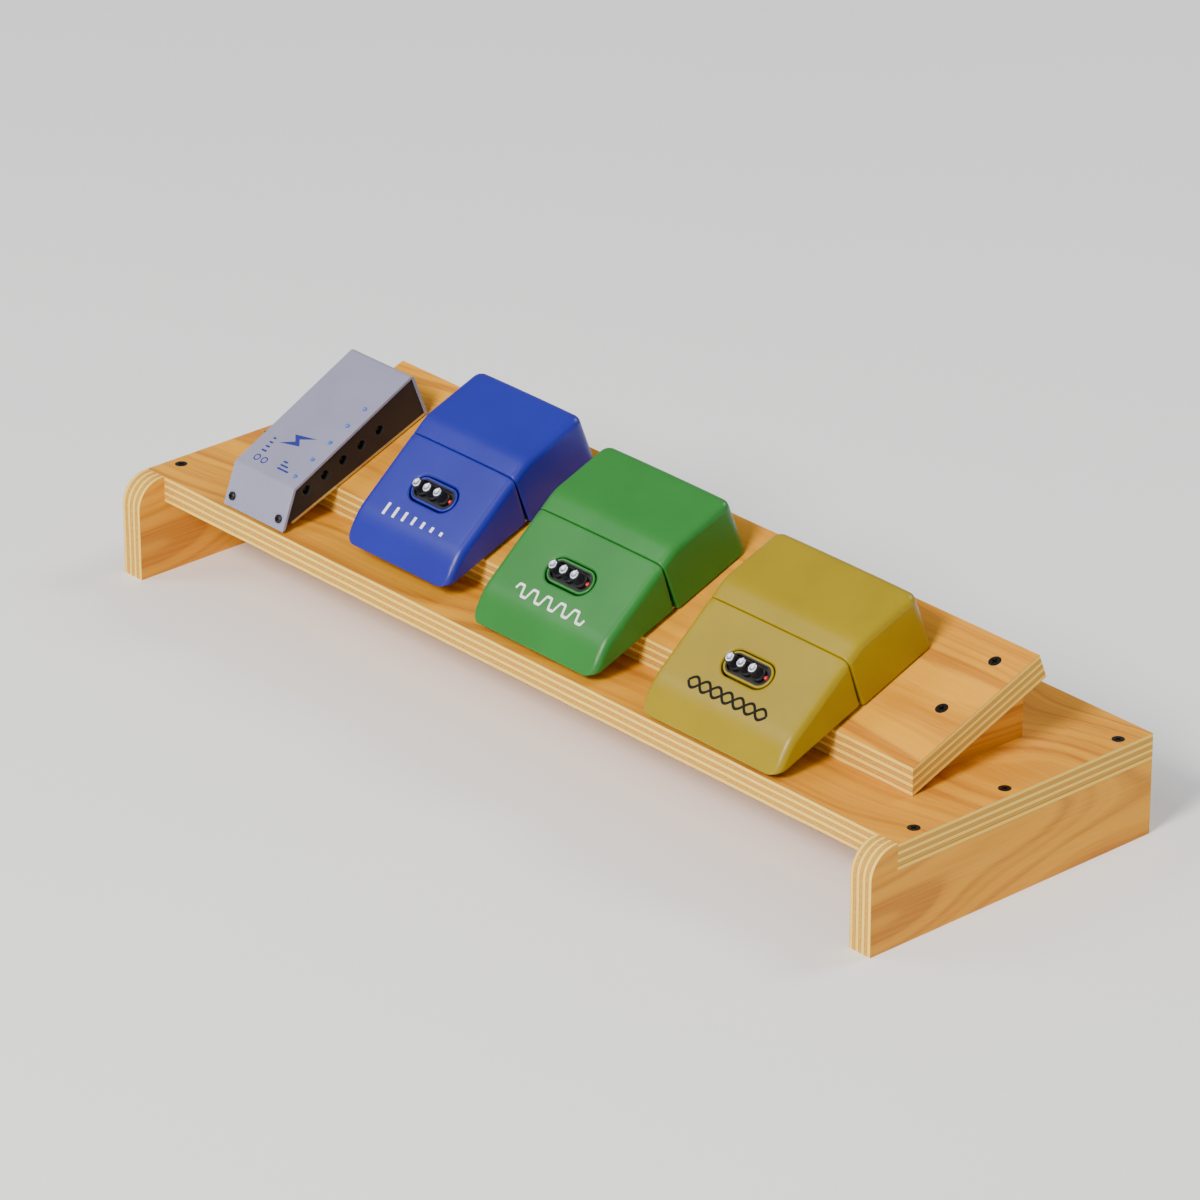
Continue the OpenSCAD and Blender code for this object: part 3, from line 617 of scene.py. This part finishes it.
def treadle_mesh(half):
    """The treadle as a closed shell with an oval window: rings from the window over the rim and back inside."""
    y0, y1 = 0.4, SPLIT_V

    def outline(x, y):
        return sd_box(x, y, half, y0, y1, FRONT_CORNER_R, SEAM_CORNER_R)

    def window(x, y):
        return sd_stadium(x, y, RECESS_HALF, CONTROL_V, math.cos(CONTROL_TILT))

    dx, dy = even_directions(outline, CONTROL_V)
    edge_x, edge_y = reach(outline, 0.0, CONTROL_V, dx, dy)
    sideways = np.clip((half - np.abs(edge_x)) / 8.0, 0.0, 1.0)
    at_rear = (edge_y > y1 - 0.8) & (np.abs(edge_x) < half - 0.4)
    at_front = edge_y < 14.0
    edge_r = SIDE_R - 3.2 * sideways * at_front
    edge_r = np.minimum(edge_r, (pedal_top(edge_x, edge_y, half) - SKIRT_W) * 0.72)
    bottom = np.where(at_rear, pedal_top(edge_x, edge_y, half) - 7.0, SKIRT_W)

    def top_ring(x, y, drop):
        return np.stack([x, y, pedal_top(x, y, half) - drop], 1)

    def sides(x, y):
        return sd_box(x, y, half, y0, y1 + 30.0, FRONT_CORNER_R, SEAM_CORNER_R)

    def edge_drop(x, y):
        return rolled(-sides(x, y), edge_r) + rolled(y1 - y, SEAM_R)

    rings = []
    lip = 1.1
    for angle in np.linspace(0.0, 90.0, 6):
        out = lip * (1 - math.cos(math.radians(angle)))
        x, y = reach(window, WINDOW_R + out, CONTROL_V, dx, dy)
        rings.append(top_ring(x, y, lip * (1 - math.sin(math.radians(angle)))))
    inner_x, inner_y = reach(window, WINDOW_R + lip, CONTROL_V, dx, dy)
    roll_x, roll_y = reach(outline, -edge_r, CONTROL_V, dx, dy)
    for step in np.linspace(0.0, 1.0, 30)[1:]:
        x = inner_x + (roll_x - inner_x) * step
        y = inner_y + (roll_y - inner_y) * step
        rings.append(top_ring(x, y, edge_drop(x, y)))
    for angle in np.linspace(0.0, 90.0, 13)[1:]:
        inset = edge_r * (1 - math.sin(math.radians(angle)))
        x, y = reach(outline, -inset, CONTROL_V, dx, dy)
        rings.append(top_ring(x, y, edge_drop(x, y)))
    edge_w = rings[-1][:, 2]
    slant = 1.5 * (edge_y > y1 - 3.0)

    def wall_ring(inset, height):
        x, y = reach(outline, -inset * np.ones_like(dx), CONTROL_V, dx, dy)
        return np.stack([x, y - slant * (edge_w - height) / (edge_w - SKIRT_W), height], 1)

    for step in (0.25, 0.5, 0.75, 1.0):
        rings.append(wall_ring(0.0, edge_w + (bottom + FOOT_R - edge_w) * step))
    for angle in (30.0, 60.0, 90.0):
        sine, cosine = math.sin(math.radians(angle)), math.cos(math.radians(angle))
        rings.append(wall_ring(FOOT_R * (1 - cosine), bottom + FOOT_R * (1 - sine)))
    rings.append(wall_ring(WALL - FOOT_R, bottom))
    x, y = reach(outline, -WALL * np.ones_like(dx), CONTROL_V, dx, dy)
    under = np.maximum(pedal_top(x, y, half) - WALL - 1.2, bottom + 0.6)
    rings.append(wall_ring(WALL, bottom + 0.5))
    rings.append(np.stack([x, y - slant * (edge_w - under) / (edge_w - SKIRT_W), under], 1))
    far_x, far_y = reach(outline, -(WALL + 3.0) * np.ones_like(dx), CONTROL_V, dx, dy)
    near_x, near_y = reach(window, WINDOW_R + 1.2, CONTROL_V, dx, dy)
    lean = WALL * TOP_TAN
    for step in np.linspace(0.0, 1.0, 9):
        x = far_x + (near_x - far_x) * step
        y = far_y + (near_y + lean - far_y) * step
        floor = np.maximum(pedal_top(x, y, half) - WALL, SKIRT_W + 0.7)
        rings.append(np.stack([x, y, floor], 1))
    x, y = reach(window, (WINDOW_R + 0.15) * np.ones_like(dx), CONTROL_V, dx, dy)
    rings.append(top_ring(x, y + lean, WALL))
    return loft(rings, closed=True)


def housing_mesh(half):
    """The rear cover of a pedal: rings from its flat middle out to the rim, then up inside."""
    y0, y1 = SPLIT_V + GAP, DEPTH
    centre = 97.0
    line = half - 24.0

    def outline(x, y):
        return sd_box(x, y, half, y0, y1, SEAM_CORNER_R, REAR_CORNER_R)

    def middle(x, y):
        return sd_stadium(x, y, line, centre)

    dx, dy = even_directions(outline, centre)

    def height(x, y, drop):
        return np.stack([x, y, pedal_top(x, y, half) - drop], 1)

    def sides(x, y):
        return sd_box(x, y, half, y0 - 60.0, y1, SEAM_CORNER_R, REAR_CORNER_R)

    def edge_drop(x, y):
        return rolled(-sides(x, y), SIDE_R) + rolled(y - y0, SEAM_R)

    rings = []
    start_x, start_y = reach(middle, 2.0 * np.ones_like(dx), centre, dx, dy)
    roll_x, roll_y = reach(outline, -SIDE_R * np.ones_like(dx), centre, dx, dy)
    for step in np.linspace(0.0, 1.0, 26):
        x = start_x + (roll_x - start_x) * step
        y = start_y + (roll_y - start_y) * step
        rings.append(height(x, y, edge_drop(x, y)))
    for angle in np.linspace(0.0, 90.0, 13)[1:]:
        inset = SIDE_R * (1 - math.sin(math.radians(angle))) * np.ones_like(dx)
        x, y = reach(outline, -inset, centre, dx, dy)
        rings.append(height(x, y, edge_drop(x, y)))
    edge_w = rings[-1][:, 2]

    def wall_ring(inset, level):
        x, y = reach(outline, -inset * np.ones_like(dx), centre, dx, dy)
        return np.stack([x, y, level * np.ones_like(x)], 1)

    for step in (0.2, 0.4, 0.6, 0.8, 1.0):
        rings.append(wall_ring(0.0, edge_w + (RIM_W + FOOT_R - edge_w) * step))
    for angle in (30.0, 60.0, 90.0):
        sine, cosine = math.sin(math.radians(angle)), math.cos(math.radians(angle))
        rings.append(wall_ring(FOOT_R * (1 - cosine), RIM_W + FOOT_R * (1 - sine)))
    rings.append(wall_ring(WALL, RIM_W))
    rings.append(wall_ring(WALL, edge_w - WALL - 1.0))
    x, y = reach(outline, -(WALL + 3.0) * np.ones_like(dx), centre, dx, dy)
    rings.append(height(x, y, WALL))
    rings.append(height(start_x, start_y, WALL))
    vertices, faces = loft(rings)
    count = len(rings[0])
    faces.append(tuple(range(count)))
    faces.append(tuple(range(len(vertices) - 1, len(vertices) - 1 - count, -1)))
    return vertices, faces


def stadium_ring(r, z, half=RECESS_HALF, count=96):
    """Points round a stadium of that radius at that height."""
    points = []
    for j in range(count):
        angle = 2 * math.pi * (j + 0.5) / count
        x, y = r * math.cos(angle), r * math.sin(angle)
        points.append((x + math.copysign(half, x), y, z))
    return points


def turret_mesh():
    """The oval wall round the knobs, with a soft lip."""
    inner, lip = RECESS_R, 0.6
    path = [(TURRET_R, -15.0), (TURRET_R, -6.0), (TURRET_R, -0.3 - lip)]
    for angle in np.linspace(0.0, 90.0, 5)[1:]:
        a = math.radians(angle)
        path.append((TURRET_R - lip * (1 - math.cos(a)), -0.3 - lip * (1 - math.sin(a))))
    path += [(inner + 0.15, -0.3), (inner, -0.45), (inner, -4.0), (inner, -6.0), (inner, -15.0)]
    return loft([stadium_ring(r, z) for r, z in path], closed=True)


def join_meshes(parts):
    """One list of vertices and faces from several, each with its own matrix."""
    vertices, faces = [], []
    for (points, polygons), matrix in parts:
        start = len(vertices)
        vertices += [tuple(matrix @ Vector(point)) for point in points]
        faces += [tuple(start + index for index in polygon) for polygon in polygons]
    return vertices, faces


def slab_mesh(half, y0, y1, z0, z1):
    """A plain tray floor with chamfered edges."""
    c = 0.5
    rings = []
    for inset, z in ((c, z0), (0, z0 + c), (0, z1 - c), (c, z1)):
        x, a, b = half - inset, y0 + inset, y1 - inset
        rings.append([(-x, a, z), (x, a, z), (x, b, z), (-x, b, z)])
    vertices, faces = loft(rings)
    faces += [(3, 2, 1, 0), (12, 13, 14, 15)]
    return vertices, faces


def cut_holes(piece, cylinders, matrix):
    """Cuts round holes; each cylinder is (x, v, w, radius, length along v)."""
    for x, v, w, radius, length in cylinders:
        ring = [(radius * math.cos(a), radius * math.sin(a)) for a in np.linspace(0, 2 * math.pi, 65)[:-1]]
        rings = [[(x + a, y, w + b) for a, b in ring] for y in (v, v + length)]
        vertices, faces = loft(rings)
        faces += [tuple(range(63, -1, -1)), tuple(range(64, 128))]
        cutter = bpy.data.objects.new("cutter", closed_mesh("cutter", vertices, faces, matrix))
        bpy.context.scene.collection.objects.link(cutter)
        cut = piece.modifiers.new("hole", "BOOLEAN")
        cut.operation = "DIFFERENCE"
        cut.solver = "EXACT"
        cut.object = cutter
        bpy.context.view_layer.update()
        graph = bpy.context.evaluated_depsgraph_get()
        result = bpy.data.meshes.new_from_object(piece.evaluated_get(graph))
        piece.modifiers.clear()
        piece.data = result
        bpy.data.objects.remove(cutter)


def smooth_by_angle(piece, degrees=40.0):
    """Sharp edges where faces meet at more than this angle, and even shading elsewhere."""
    mesh = piece.data
    mesh.polygons.foreach_set("use_smooth", [True] * len(mesh.polygons))
    mesh.set_sharp_from_angle(angle=math.radians(degrees))
    weighted = piece.modifiers.new("even_normals", "WEIGHTED_NORMAL")
    weighted.keep_sharp = True


def knob_mesh(radius, bottom, top):
    """A fluted skirted knob, without its cap."""
    count, flutes = 144, 18
    rings = []

    def ring(r, z, flute):
        points = []
        for j in range(count):
            angle = 2 * math.pi * j / count
            groove = 0.5 - 0.5 * math.cos(flutes * angle)
            rr = r - flute * groove ** 2
            points.append((rr * math.cos(angle), rr * math.sin(angle), z))
        return points

    skirt_top = bottom + 2.2
    body = radius - KNOB_STEP
    profile = [
        (radius - 1.2, bottom, 0.0), (radius - 0.25, bottom, 0.0), (radius, bottom + 0.3, 0.0),
        (radius, skirt_top - 0.7, 0.0), (radius - 0.12, skirt_top - 0.3, 0.0),
        (radius - 0.4, skirt_top, 0.0), (body, skirt_top + 0.35, 0.22), (body - 0.05, skirt_top + 1.0, 0.34),
        (body - 0.2, top - 1.3, 0.34), (body - 0.28, top - 0.85, 0.22), (body - 0.42, top - 0.55, 0.06),
        (body - 0.75, top - 0.40, 0.0), (body - 1.0, top - 0.55, 0.0), (body - 1.4, top - 0.6, 0.0),
    ]
    for r, z, flute in profile:
        rings.append(ring(r, z, flute))
    vertices, faces = loft(rings)
    faces.append(tuple(range(count - 1, -1, -1)))
    faces.append(tuple(range(len(vertices) - count, len(vertices))))
    return vertices, faces


def lathe(profile, count=96):
    """A turned shape from (radius, height) pairs, closed at both ends."""
    rings = [
        [(r * math.cos(a), r * math.sin(a), z) for a in np.linspace(0, 2 * math.pi, count + 1)[:-1]]
        for r, z in profile
    ]
    vertices, faces = loft(rings)
    faces.append(tuple(range(count - 1, -1, -1)))
    faces.append(tuple(range(len(vertices) - count, len(vertices))))
    return vertices, faces


def ribbon(paths, width, surface, lift, depth):
    """A printed mark: strips of that width along paths of (x, v), each a little higher than the one before."""
    vertices, faces = [], []
    for number, path in enumerate(paths):
        top = lift + 0.015 * number
        points = np.array(path, float)
        along = np.gradient(points, axis=0)
        along /= np.maximum(np.linalg.norm(along, axis=1), 1e-9)[:, None]
        side = np.stack([-along[:, 1], along[:, 0]], 1) * width / 2
        start = len(vertices)
        for left, right in zip(points + side, points - side):
            for (x, v), level in ((left, top), (right, top), (right, -depth), (left, -depth)):
                vertices.append((x, v, surface(x, v) + level))
        last = start + 4 * (len(points) - 1)
        for k in range(len(points) - 1):
            a, b = start + 4 * k, start + 4 * (k + 1)
            for j in range(4):
                n = (j + 1) % 4
                faces.append((a + j, b + j, b + n, a + n))
        faces.append((start, start + 1, start + 2, start + 3))
        faces.append((last + 3, last + 2, last + 1, last))
    return vertices, faces


def patch(outline, surface, lift=0.07, depth=0.25):
    """A printed patch of that outline, raised a little off a surface."""
    count = len(outline)
    vertices = [(x, v, surface(x, v) + level) for level in (lift, -depth) for x, v in outline]
    faces = [(j, j + count, (j + 1) % count + count, (j + 1) % count) for j in range(count)]
    faces += [tuple(range(count)), tuple(range(2 * count - 1, count - 1, -1))]
    return vertices, faces


def straight(x0, v0, x1, v1, steps=6):
    return [(x0 + (x1 - x0) * k / steps, v0 + (v1 - v0) * k / steps) for k in range(steps + 1)]


def marks(effect):
    """A generic sign for what each effect does, in front of its knobs."""
    middle, high = 21.4, 3.5
    if effect == "delay":
        paths = []
        for k in range(7):
            size = high * (1.0 - 0.115 * k)
            x = -22.5 + 7.5 * k
            paths.append(straight(x, middle - size, x, middle + size))
        return paths
    if effect == "overdrive":
        steps = 140
        wave = []
        for k in range(steps + 1):
            x = -27.0 + 54.0 * k / steps
            swing = 1.7 * math.sin(2 * math.pi * 5 * k / steps)
            wave.append((x, middle + high * max(-0.82, min(0.82, swing))))
        return [wave]
    waves = []
    for shift in (0.0, 0.5):
        steps = 160
        wave = []
        for k in range(steps + 1):
            x = -29.0 + 58.0 * k / steps
            wave.append((x, middle + 0.86 * high * math.sin(2 * math.pi * (3.5 * k / steps + shift))))
        waves.append(wave)
    return waves


def make_knob(effect, side, looks):
    """A fluted black knob with a bright cap and a white pointer, on its own body."""
    node = f"{effect}_knob_{side}"
    low, high = lo_hi(node)
    x = ((low.x + high.x) / 2 - pedal_matrix(effect).translation.x) / MM
    matrix = pedal_matrix(effect) @ CONTROLS @ Matrix.Translation((x, 0, 0))
    body = node + "_body"
    base = mesh_object(
        node + "_grip", *knob_mesh(KNOB_RADIUS, KNOB_BOTTOM, KNOB_TOP), looks["knob_black"], body,
        "knob_metal", matrix,
    )
    smooth_by_angle(base, 48.0)
    body_r = KNOB_RADIUS - KNOB_STEP
    r = body_r - 0.95
    cap_profile = [
        (r, KNOB_TOP - 0.75), (r, KNOB_TOP - 0.35), (r - 0.12, KNOB_TOP - 0.2), (r - 0.5, KNOB_TOP - 0.14),
        (r * 0.62, KNOB_TOP - 0.18), (r * 0.55, KNOB_TOP - 0.26), (0.3, KNOB_TOP - 0.24),
    ]
    cap = mesh_object(node + "_cap", *lathe(cap_profile), looks["knob_cap"], body, "knob_metal", matrix)
    smooth_by_angle(cap, 35.0)
    pointer = ribbon(
        [straight(0.0, 0.9, 0.0, body_r - 0.9)], 0.62, lambda _x, _v: KNOB_TOP - 0.3, lift=0.22, depth=0.35
    )
    mesh_object(node + "_pointer", *pointer, looks["print_white"], body, "knob_metal", matrix, smooth=False)
    shaft = mesh_object(
        node + "_shaft", *lathe([(1.9, -8.0), (2.0, -7.8), (2.0, KNOB_BOTTOM + 0.3)], 48), looks["zinc"], body,
        "knob_metal", matrix,
    )
    smooth_by_angle(shaft)
    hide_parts(node)


def coil_mesh(radius, wire, bottom, top):
    """A compression spring in round wire, with a closed turn at each end."""
    turns, closed_turns, steps, sides = 5.0, 0.9, 30, 12
    closed_rise = closed_turns * wire * 2.06
    knots = (0.0, closed_turns, turns - closed_turns, turns)
    heights = (bottom, bottom + closed_rise, top - closed_rise, top)
    around = np.linspace(0.0, 2 * math.pi, sides, endpoint=False)
    rings = []
    for turn in np.linspace(0.0, turns, int(turns * steps) + 1):
        angle = 2 * math.pi * turn
        r = radius + wire * np.cos(around)
        z = np.interp(turn, knots, heights) + wire * np.sin(around)
        rings.append(np.stack([r * math.cos(angle), r * math.sin(angle), z], 1))
    vertices, faces = loft(rings)
    last = (len(rings) - 1) * sides
    faces += [tuple(range(sides)), tuple(range(last, last + sides))]
    return vertices, faces


def make_spring(effect, looks):
    """The return spring, wound as a coil in place of its CAD node."""
    node = effect + "_return_spring"
    joint = JOINTS[effect + "_treadle_press"]
    matrix = pedal_matrix(effect)
    own_frame = matrix.inverted()
    points = np.array([own_frame @ vertex.co for vertex in NODES[node].data.vertices])
    low, high = points.min(axis=0), points.max(axis=0)
    x, v = (low[0] + high[0]) / 2, (low[1] + high[1]) / 2
    radius = (high[0] - low[0]) / 2 - WIRE_R
    coil = coil_mesh(radius, WIRE_R, low[2] + WIRE_R, high[2] - WIRE_R)
    place = matrix @ Matrix.Translation((x, v, 0))
    spring = mesh_object(effect + "_spring_coil", *coil, looks["spring"], "board", "spring_steel", place)
    smooth_by_angle(spring, 50.0)
    foot = place @ Vector((0, 0, low[2]))
    arm = abs((foot - Vector(joint["pos_m"])).dot(UP_SLOPE_V)) / MM
    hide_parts(node)
    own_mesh(spring)


def make_pedal(effect, looks):
    """Everything of one pedal that isn't a CAD node: covers, tray, mark, spring and knobs."""
    matrix = pedal_matrix(effect)
    half = width_mm(effect + "_housing") / 2
    shell_slot = effect + "_shell"
    cover = mesh_object(effect + "_rear_cover", *housing_mesh(half), looks[effect], "board", shell_slot, matrix)
    start_v = DEPTH - HOLE_LENGTH / 2
    jack_x = half - JACK_INSET
    holes = [(x, start_v, JACK_W, JACK_HOLE_R, HOLE_LENGTH) for x in (-jack_x, jack_x)]
    holes.append((0.0, start_v, POWER_W, POWER_HOLE_R, HOLE_LENGTH))
    cut_holes(cover, holes, matrix)
    smooth_by_angle(cover, 38.0)
    tray = join_meshes([
        (slab_mesh(half - WALL - 1.0, 13.0, SPLIT_V + 2.0, 2.5, 6.0), Matrix.Identity(4)),
        (turret_mesh(), CONTROLS),
    ])
    inner = mesh_object(effect + "_tray", *tray, looks[effect], "board", shell_slot, matrix)
    smooth_by_angle(inner, 50.0)
    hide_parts(effect + "_housing")
    treadle = mesh_object(
        effect + "_foot_cover", *treadle_mesh(half), looks[effect], effect + "_treadle_body", shell_slot, matrix
    )
    smooth_by_angle(treadle, 60.0)
    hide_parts(effect + "_treadle")
    ink = looks["print_black"] if effect == "chorus" else looks["print_white"]
    stroke = {"delay": 1.9, "overdrive": 1.3, "chorus": 1.5}[effect]

    def surface(x, v):
        return float(pedal_top(np.array(x), np.array(v), half))

    mesh_object(
        effect + "_mark", *ribbon(marks(effect), stroke, surface, lift=0.1, depth=0.4), ink,
        effect + "_treadle_body", shell_slot, matrix, smooth=False,
    )
    make_spring(effect, looks)
    for side in ("left", "middle", "right"):
        make_knob(effect, side, looks)


# --- Power supply ----------------------------------------------------------------------------

SUPPLY_TOE = (16.5, 19.5)
SUPPLY_REAR_W = 29.0
SUPPLY_DEPTH = 112.0


def make_supply_marks(looks):
    """Generic blue marks on the supply's top: a bolt, bars and two rings."""
    rise = (SUPPLY_REAR_W - SUPPLY_TOE[1]) / (SUPPLY_DEPTH - SUPPLY_TOE[0])

    def surface(_x, v):
        return SUPPLY_TOE[1] + (v - SUPPLY_TOE[0]) * rise

    bolt = [(-11.0, 38.5), (3.0, 41.5), (-1.0, 45.5), (9.0, 50.0), (-6.5, 47.2), (-2.2, 43.2)]
    bars = [straight(-17.0, v, -13.0 - 0.2 * (v - 30.0), v) for v in (30.0, 33.2, 36.4, 39.6)]
    lower_bars = [straight(3.0, v, 12.0 - 1.1 * (v - 24.0), v) for v in (24.0, 26.6, 29.2)]
    rings = [
        [(x + 1.9 * math.cos(a), 24.5 + 1.9 * math.sin(a)) for a in np.linspace(0, 2 * math.pi, 33)]
        for x in (-15.0, -9.0)
    ]
    parts = [
        patch(bolt, surface),
        ribbon(bars + lower_bars, 1.1, surface, lift=0.07, depth=0.25),
        ribbon(rings, 0.75, surface, lift=0.07, depth=0.25),
    ]
    identity = Matrix.Identity(4)
    mark = join_meshes([(part, identity) for part in parts])
    mesh_object("supply_marks", *mark, looks["print_blue"], "board", "grey_paint", supply_matrix(), smooth=False)


# --- CAD nodes that stay ---------------------------------------------------------------------


def paint(node, material, edge=0.0, segments=2):
    """Gives a CAD node its one material, and a small round on its edges."""
    obj = NODES[node]
    obj.data.materials.clear()
    obj.data.materials.append(material)
    if edge:
        soften(obj, edge, segments)


def finish_cad_nodes(looks):
    paint("wood_screws", looks["screw_black"])
    paint("hook_loop_pads", looks["tape"])
    paint("pedal_base_screws", looks["zinc"])
    paint("pedal_hinge_pins", looks["zinc"])
    paint("pedal_jack_nuts", looks["nickel"], 0.0003)
    paint("pedal_leds", looks["red_lens"])
    paint("supply_shell", looks["grey_paint"], 0.0006, 3)
    paint("supply_end_panels", looks["black_paint"], 0.0002)
    paint("supply_base_plate", looks["zinc"], 0.0003)
    paint("supply_screws", looks["screw_black"])
    paint("supply_outlets", looks["black_plastic"])
    paint("supply_transformer", looks["copper"])
    paint("supply_circuit_board", looks["circuit"])
    paint("supply_leds", looks["blue_lens"])
    paint("supply_mains_inlet", looks["black_plastic"], 0.0005)
    for effect in EFFECTS:
        paint(effect + "_base_plate", looks["zinc"], 0.0003)
        paint(effect + "_pots", looks["zinc"])
        paint(effect + "_circuit_board", looks["circuit"])
        paint(effect + "_foot_switch", looks["black_plastic"])
        paint(effect + "_switch_plunger", looks["zinc"])
        paint(effect + "_jacks", looks["black_plastic"])
        # The control plate's floor is its own black; the black lining up the recess walls is painted shade
        # inside the knob recess.
        paint(effect + "_control_plate", looks["black_plastic"], 0.0002)


FLOOR_HALF = 14.0


def make_floor():
    """A pale floor that runs on well past the view."""
    s = Shader("floor", rough=0.75)
    s.colour(s.mix(s.noise(s.place, 3.0, 2.0, 0.5), (0.94, 0.95, 0.97), (0.97, 0.98, 0.99)))
    mesh = bpy.data.meshes.new("floor")
    corners = [(x * FLOOR_HALF, y * FLOOR_HALF, 0) for x, y in ((-1, -1), (1, -1), (1, 1), (-1, 1))]
    mesh.from_pydata(corners, [], [(0, 1, 2, 3)])
    mesh.materials.append(s.material)
    floor = bpy.data.objects.new("floor", mesh)
    bpy.context.scene.collection.objects.link(floor)


make_camera()
make_light()
make_floor()
finish_plywood()
LOOKS = make_materials()
finish_cad_nodes(LOOKS)
for effect_name in EFFECTS:
    make_pedal(effect_name, LOOKS)
make_supply_marks(LOOKS)
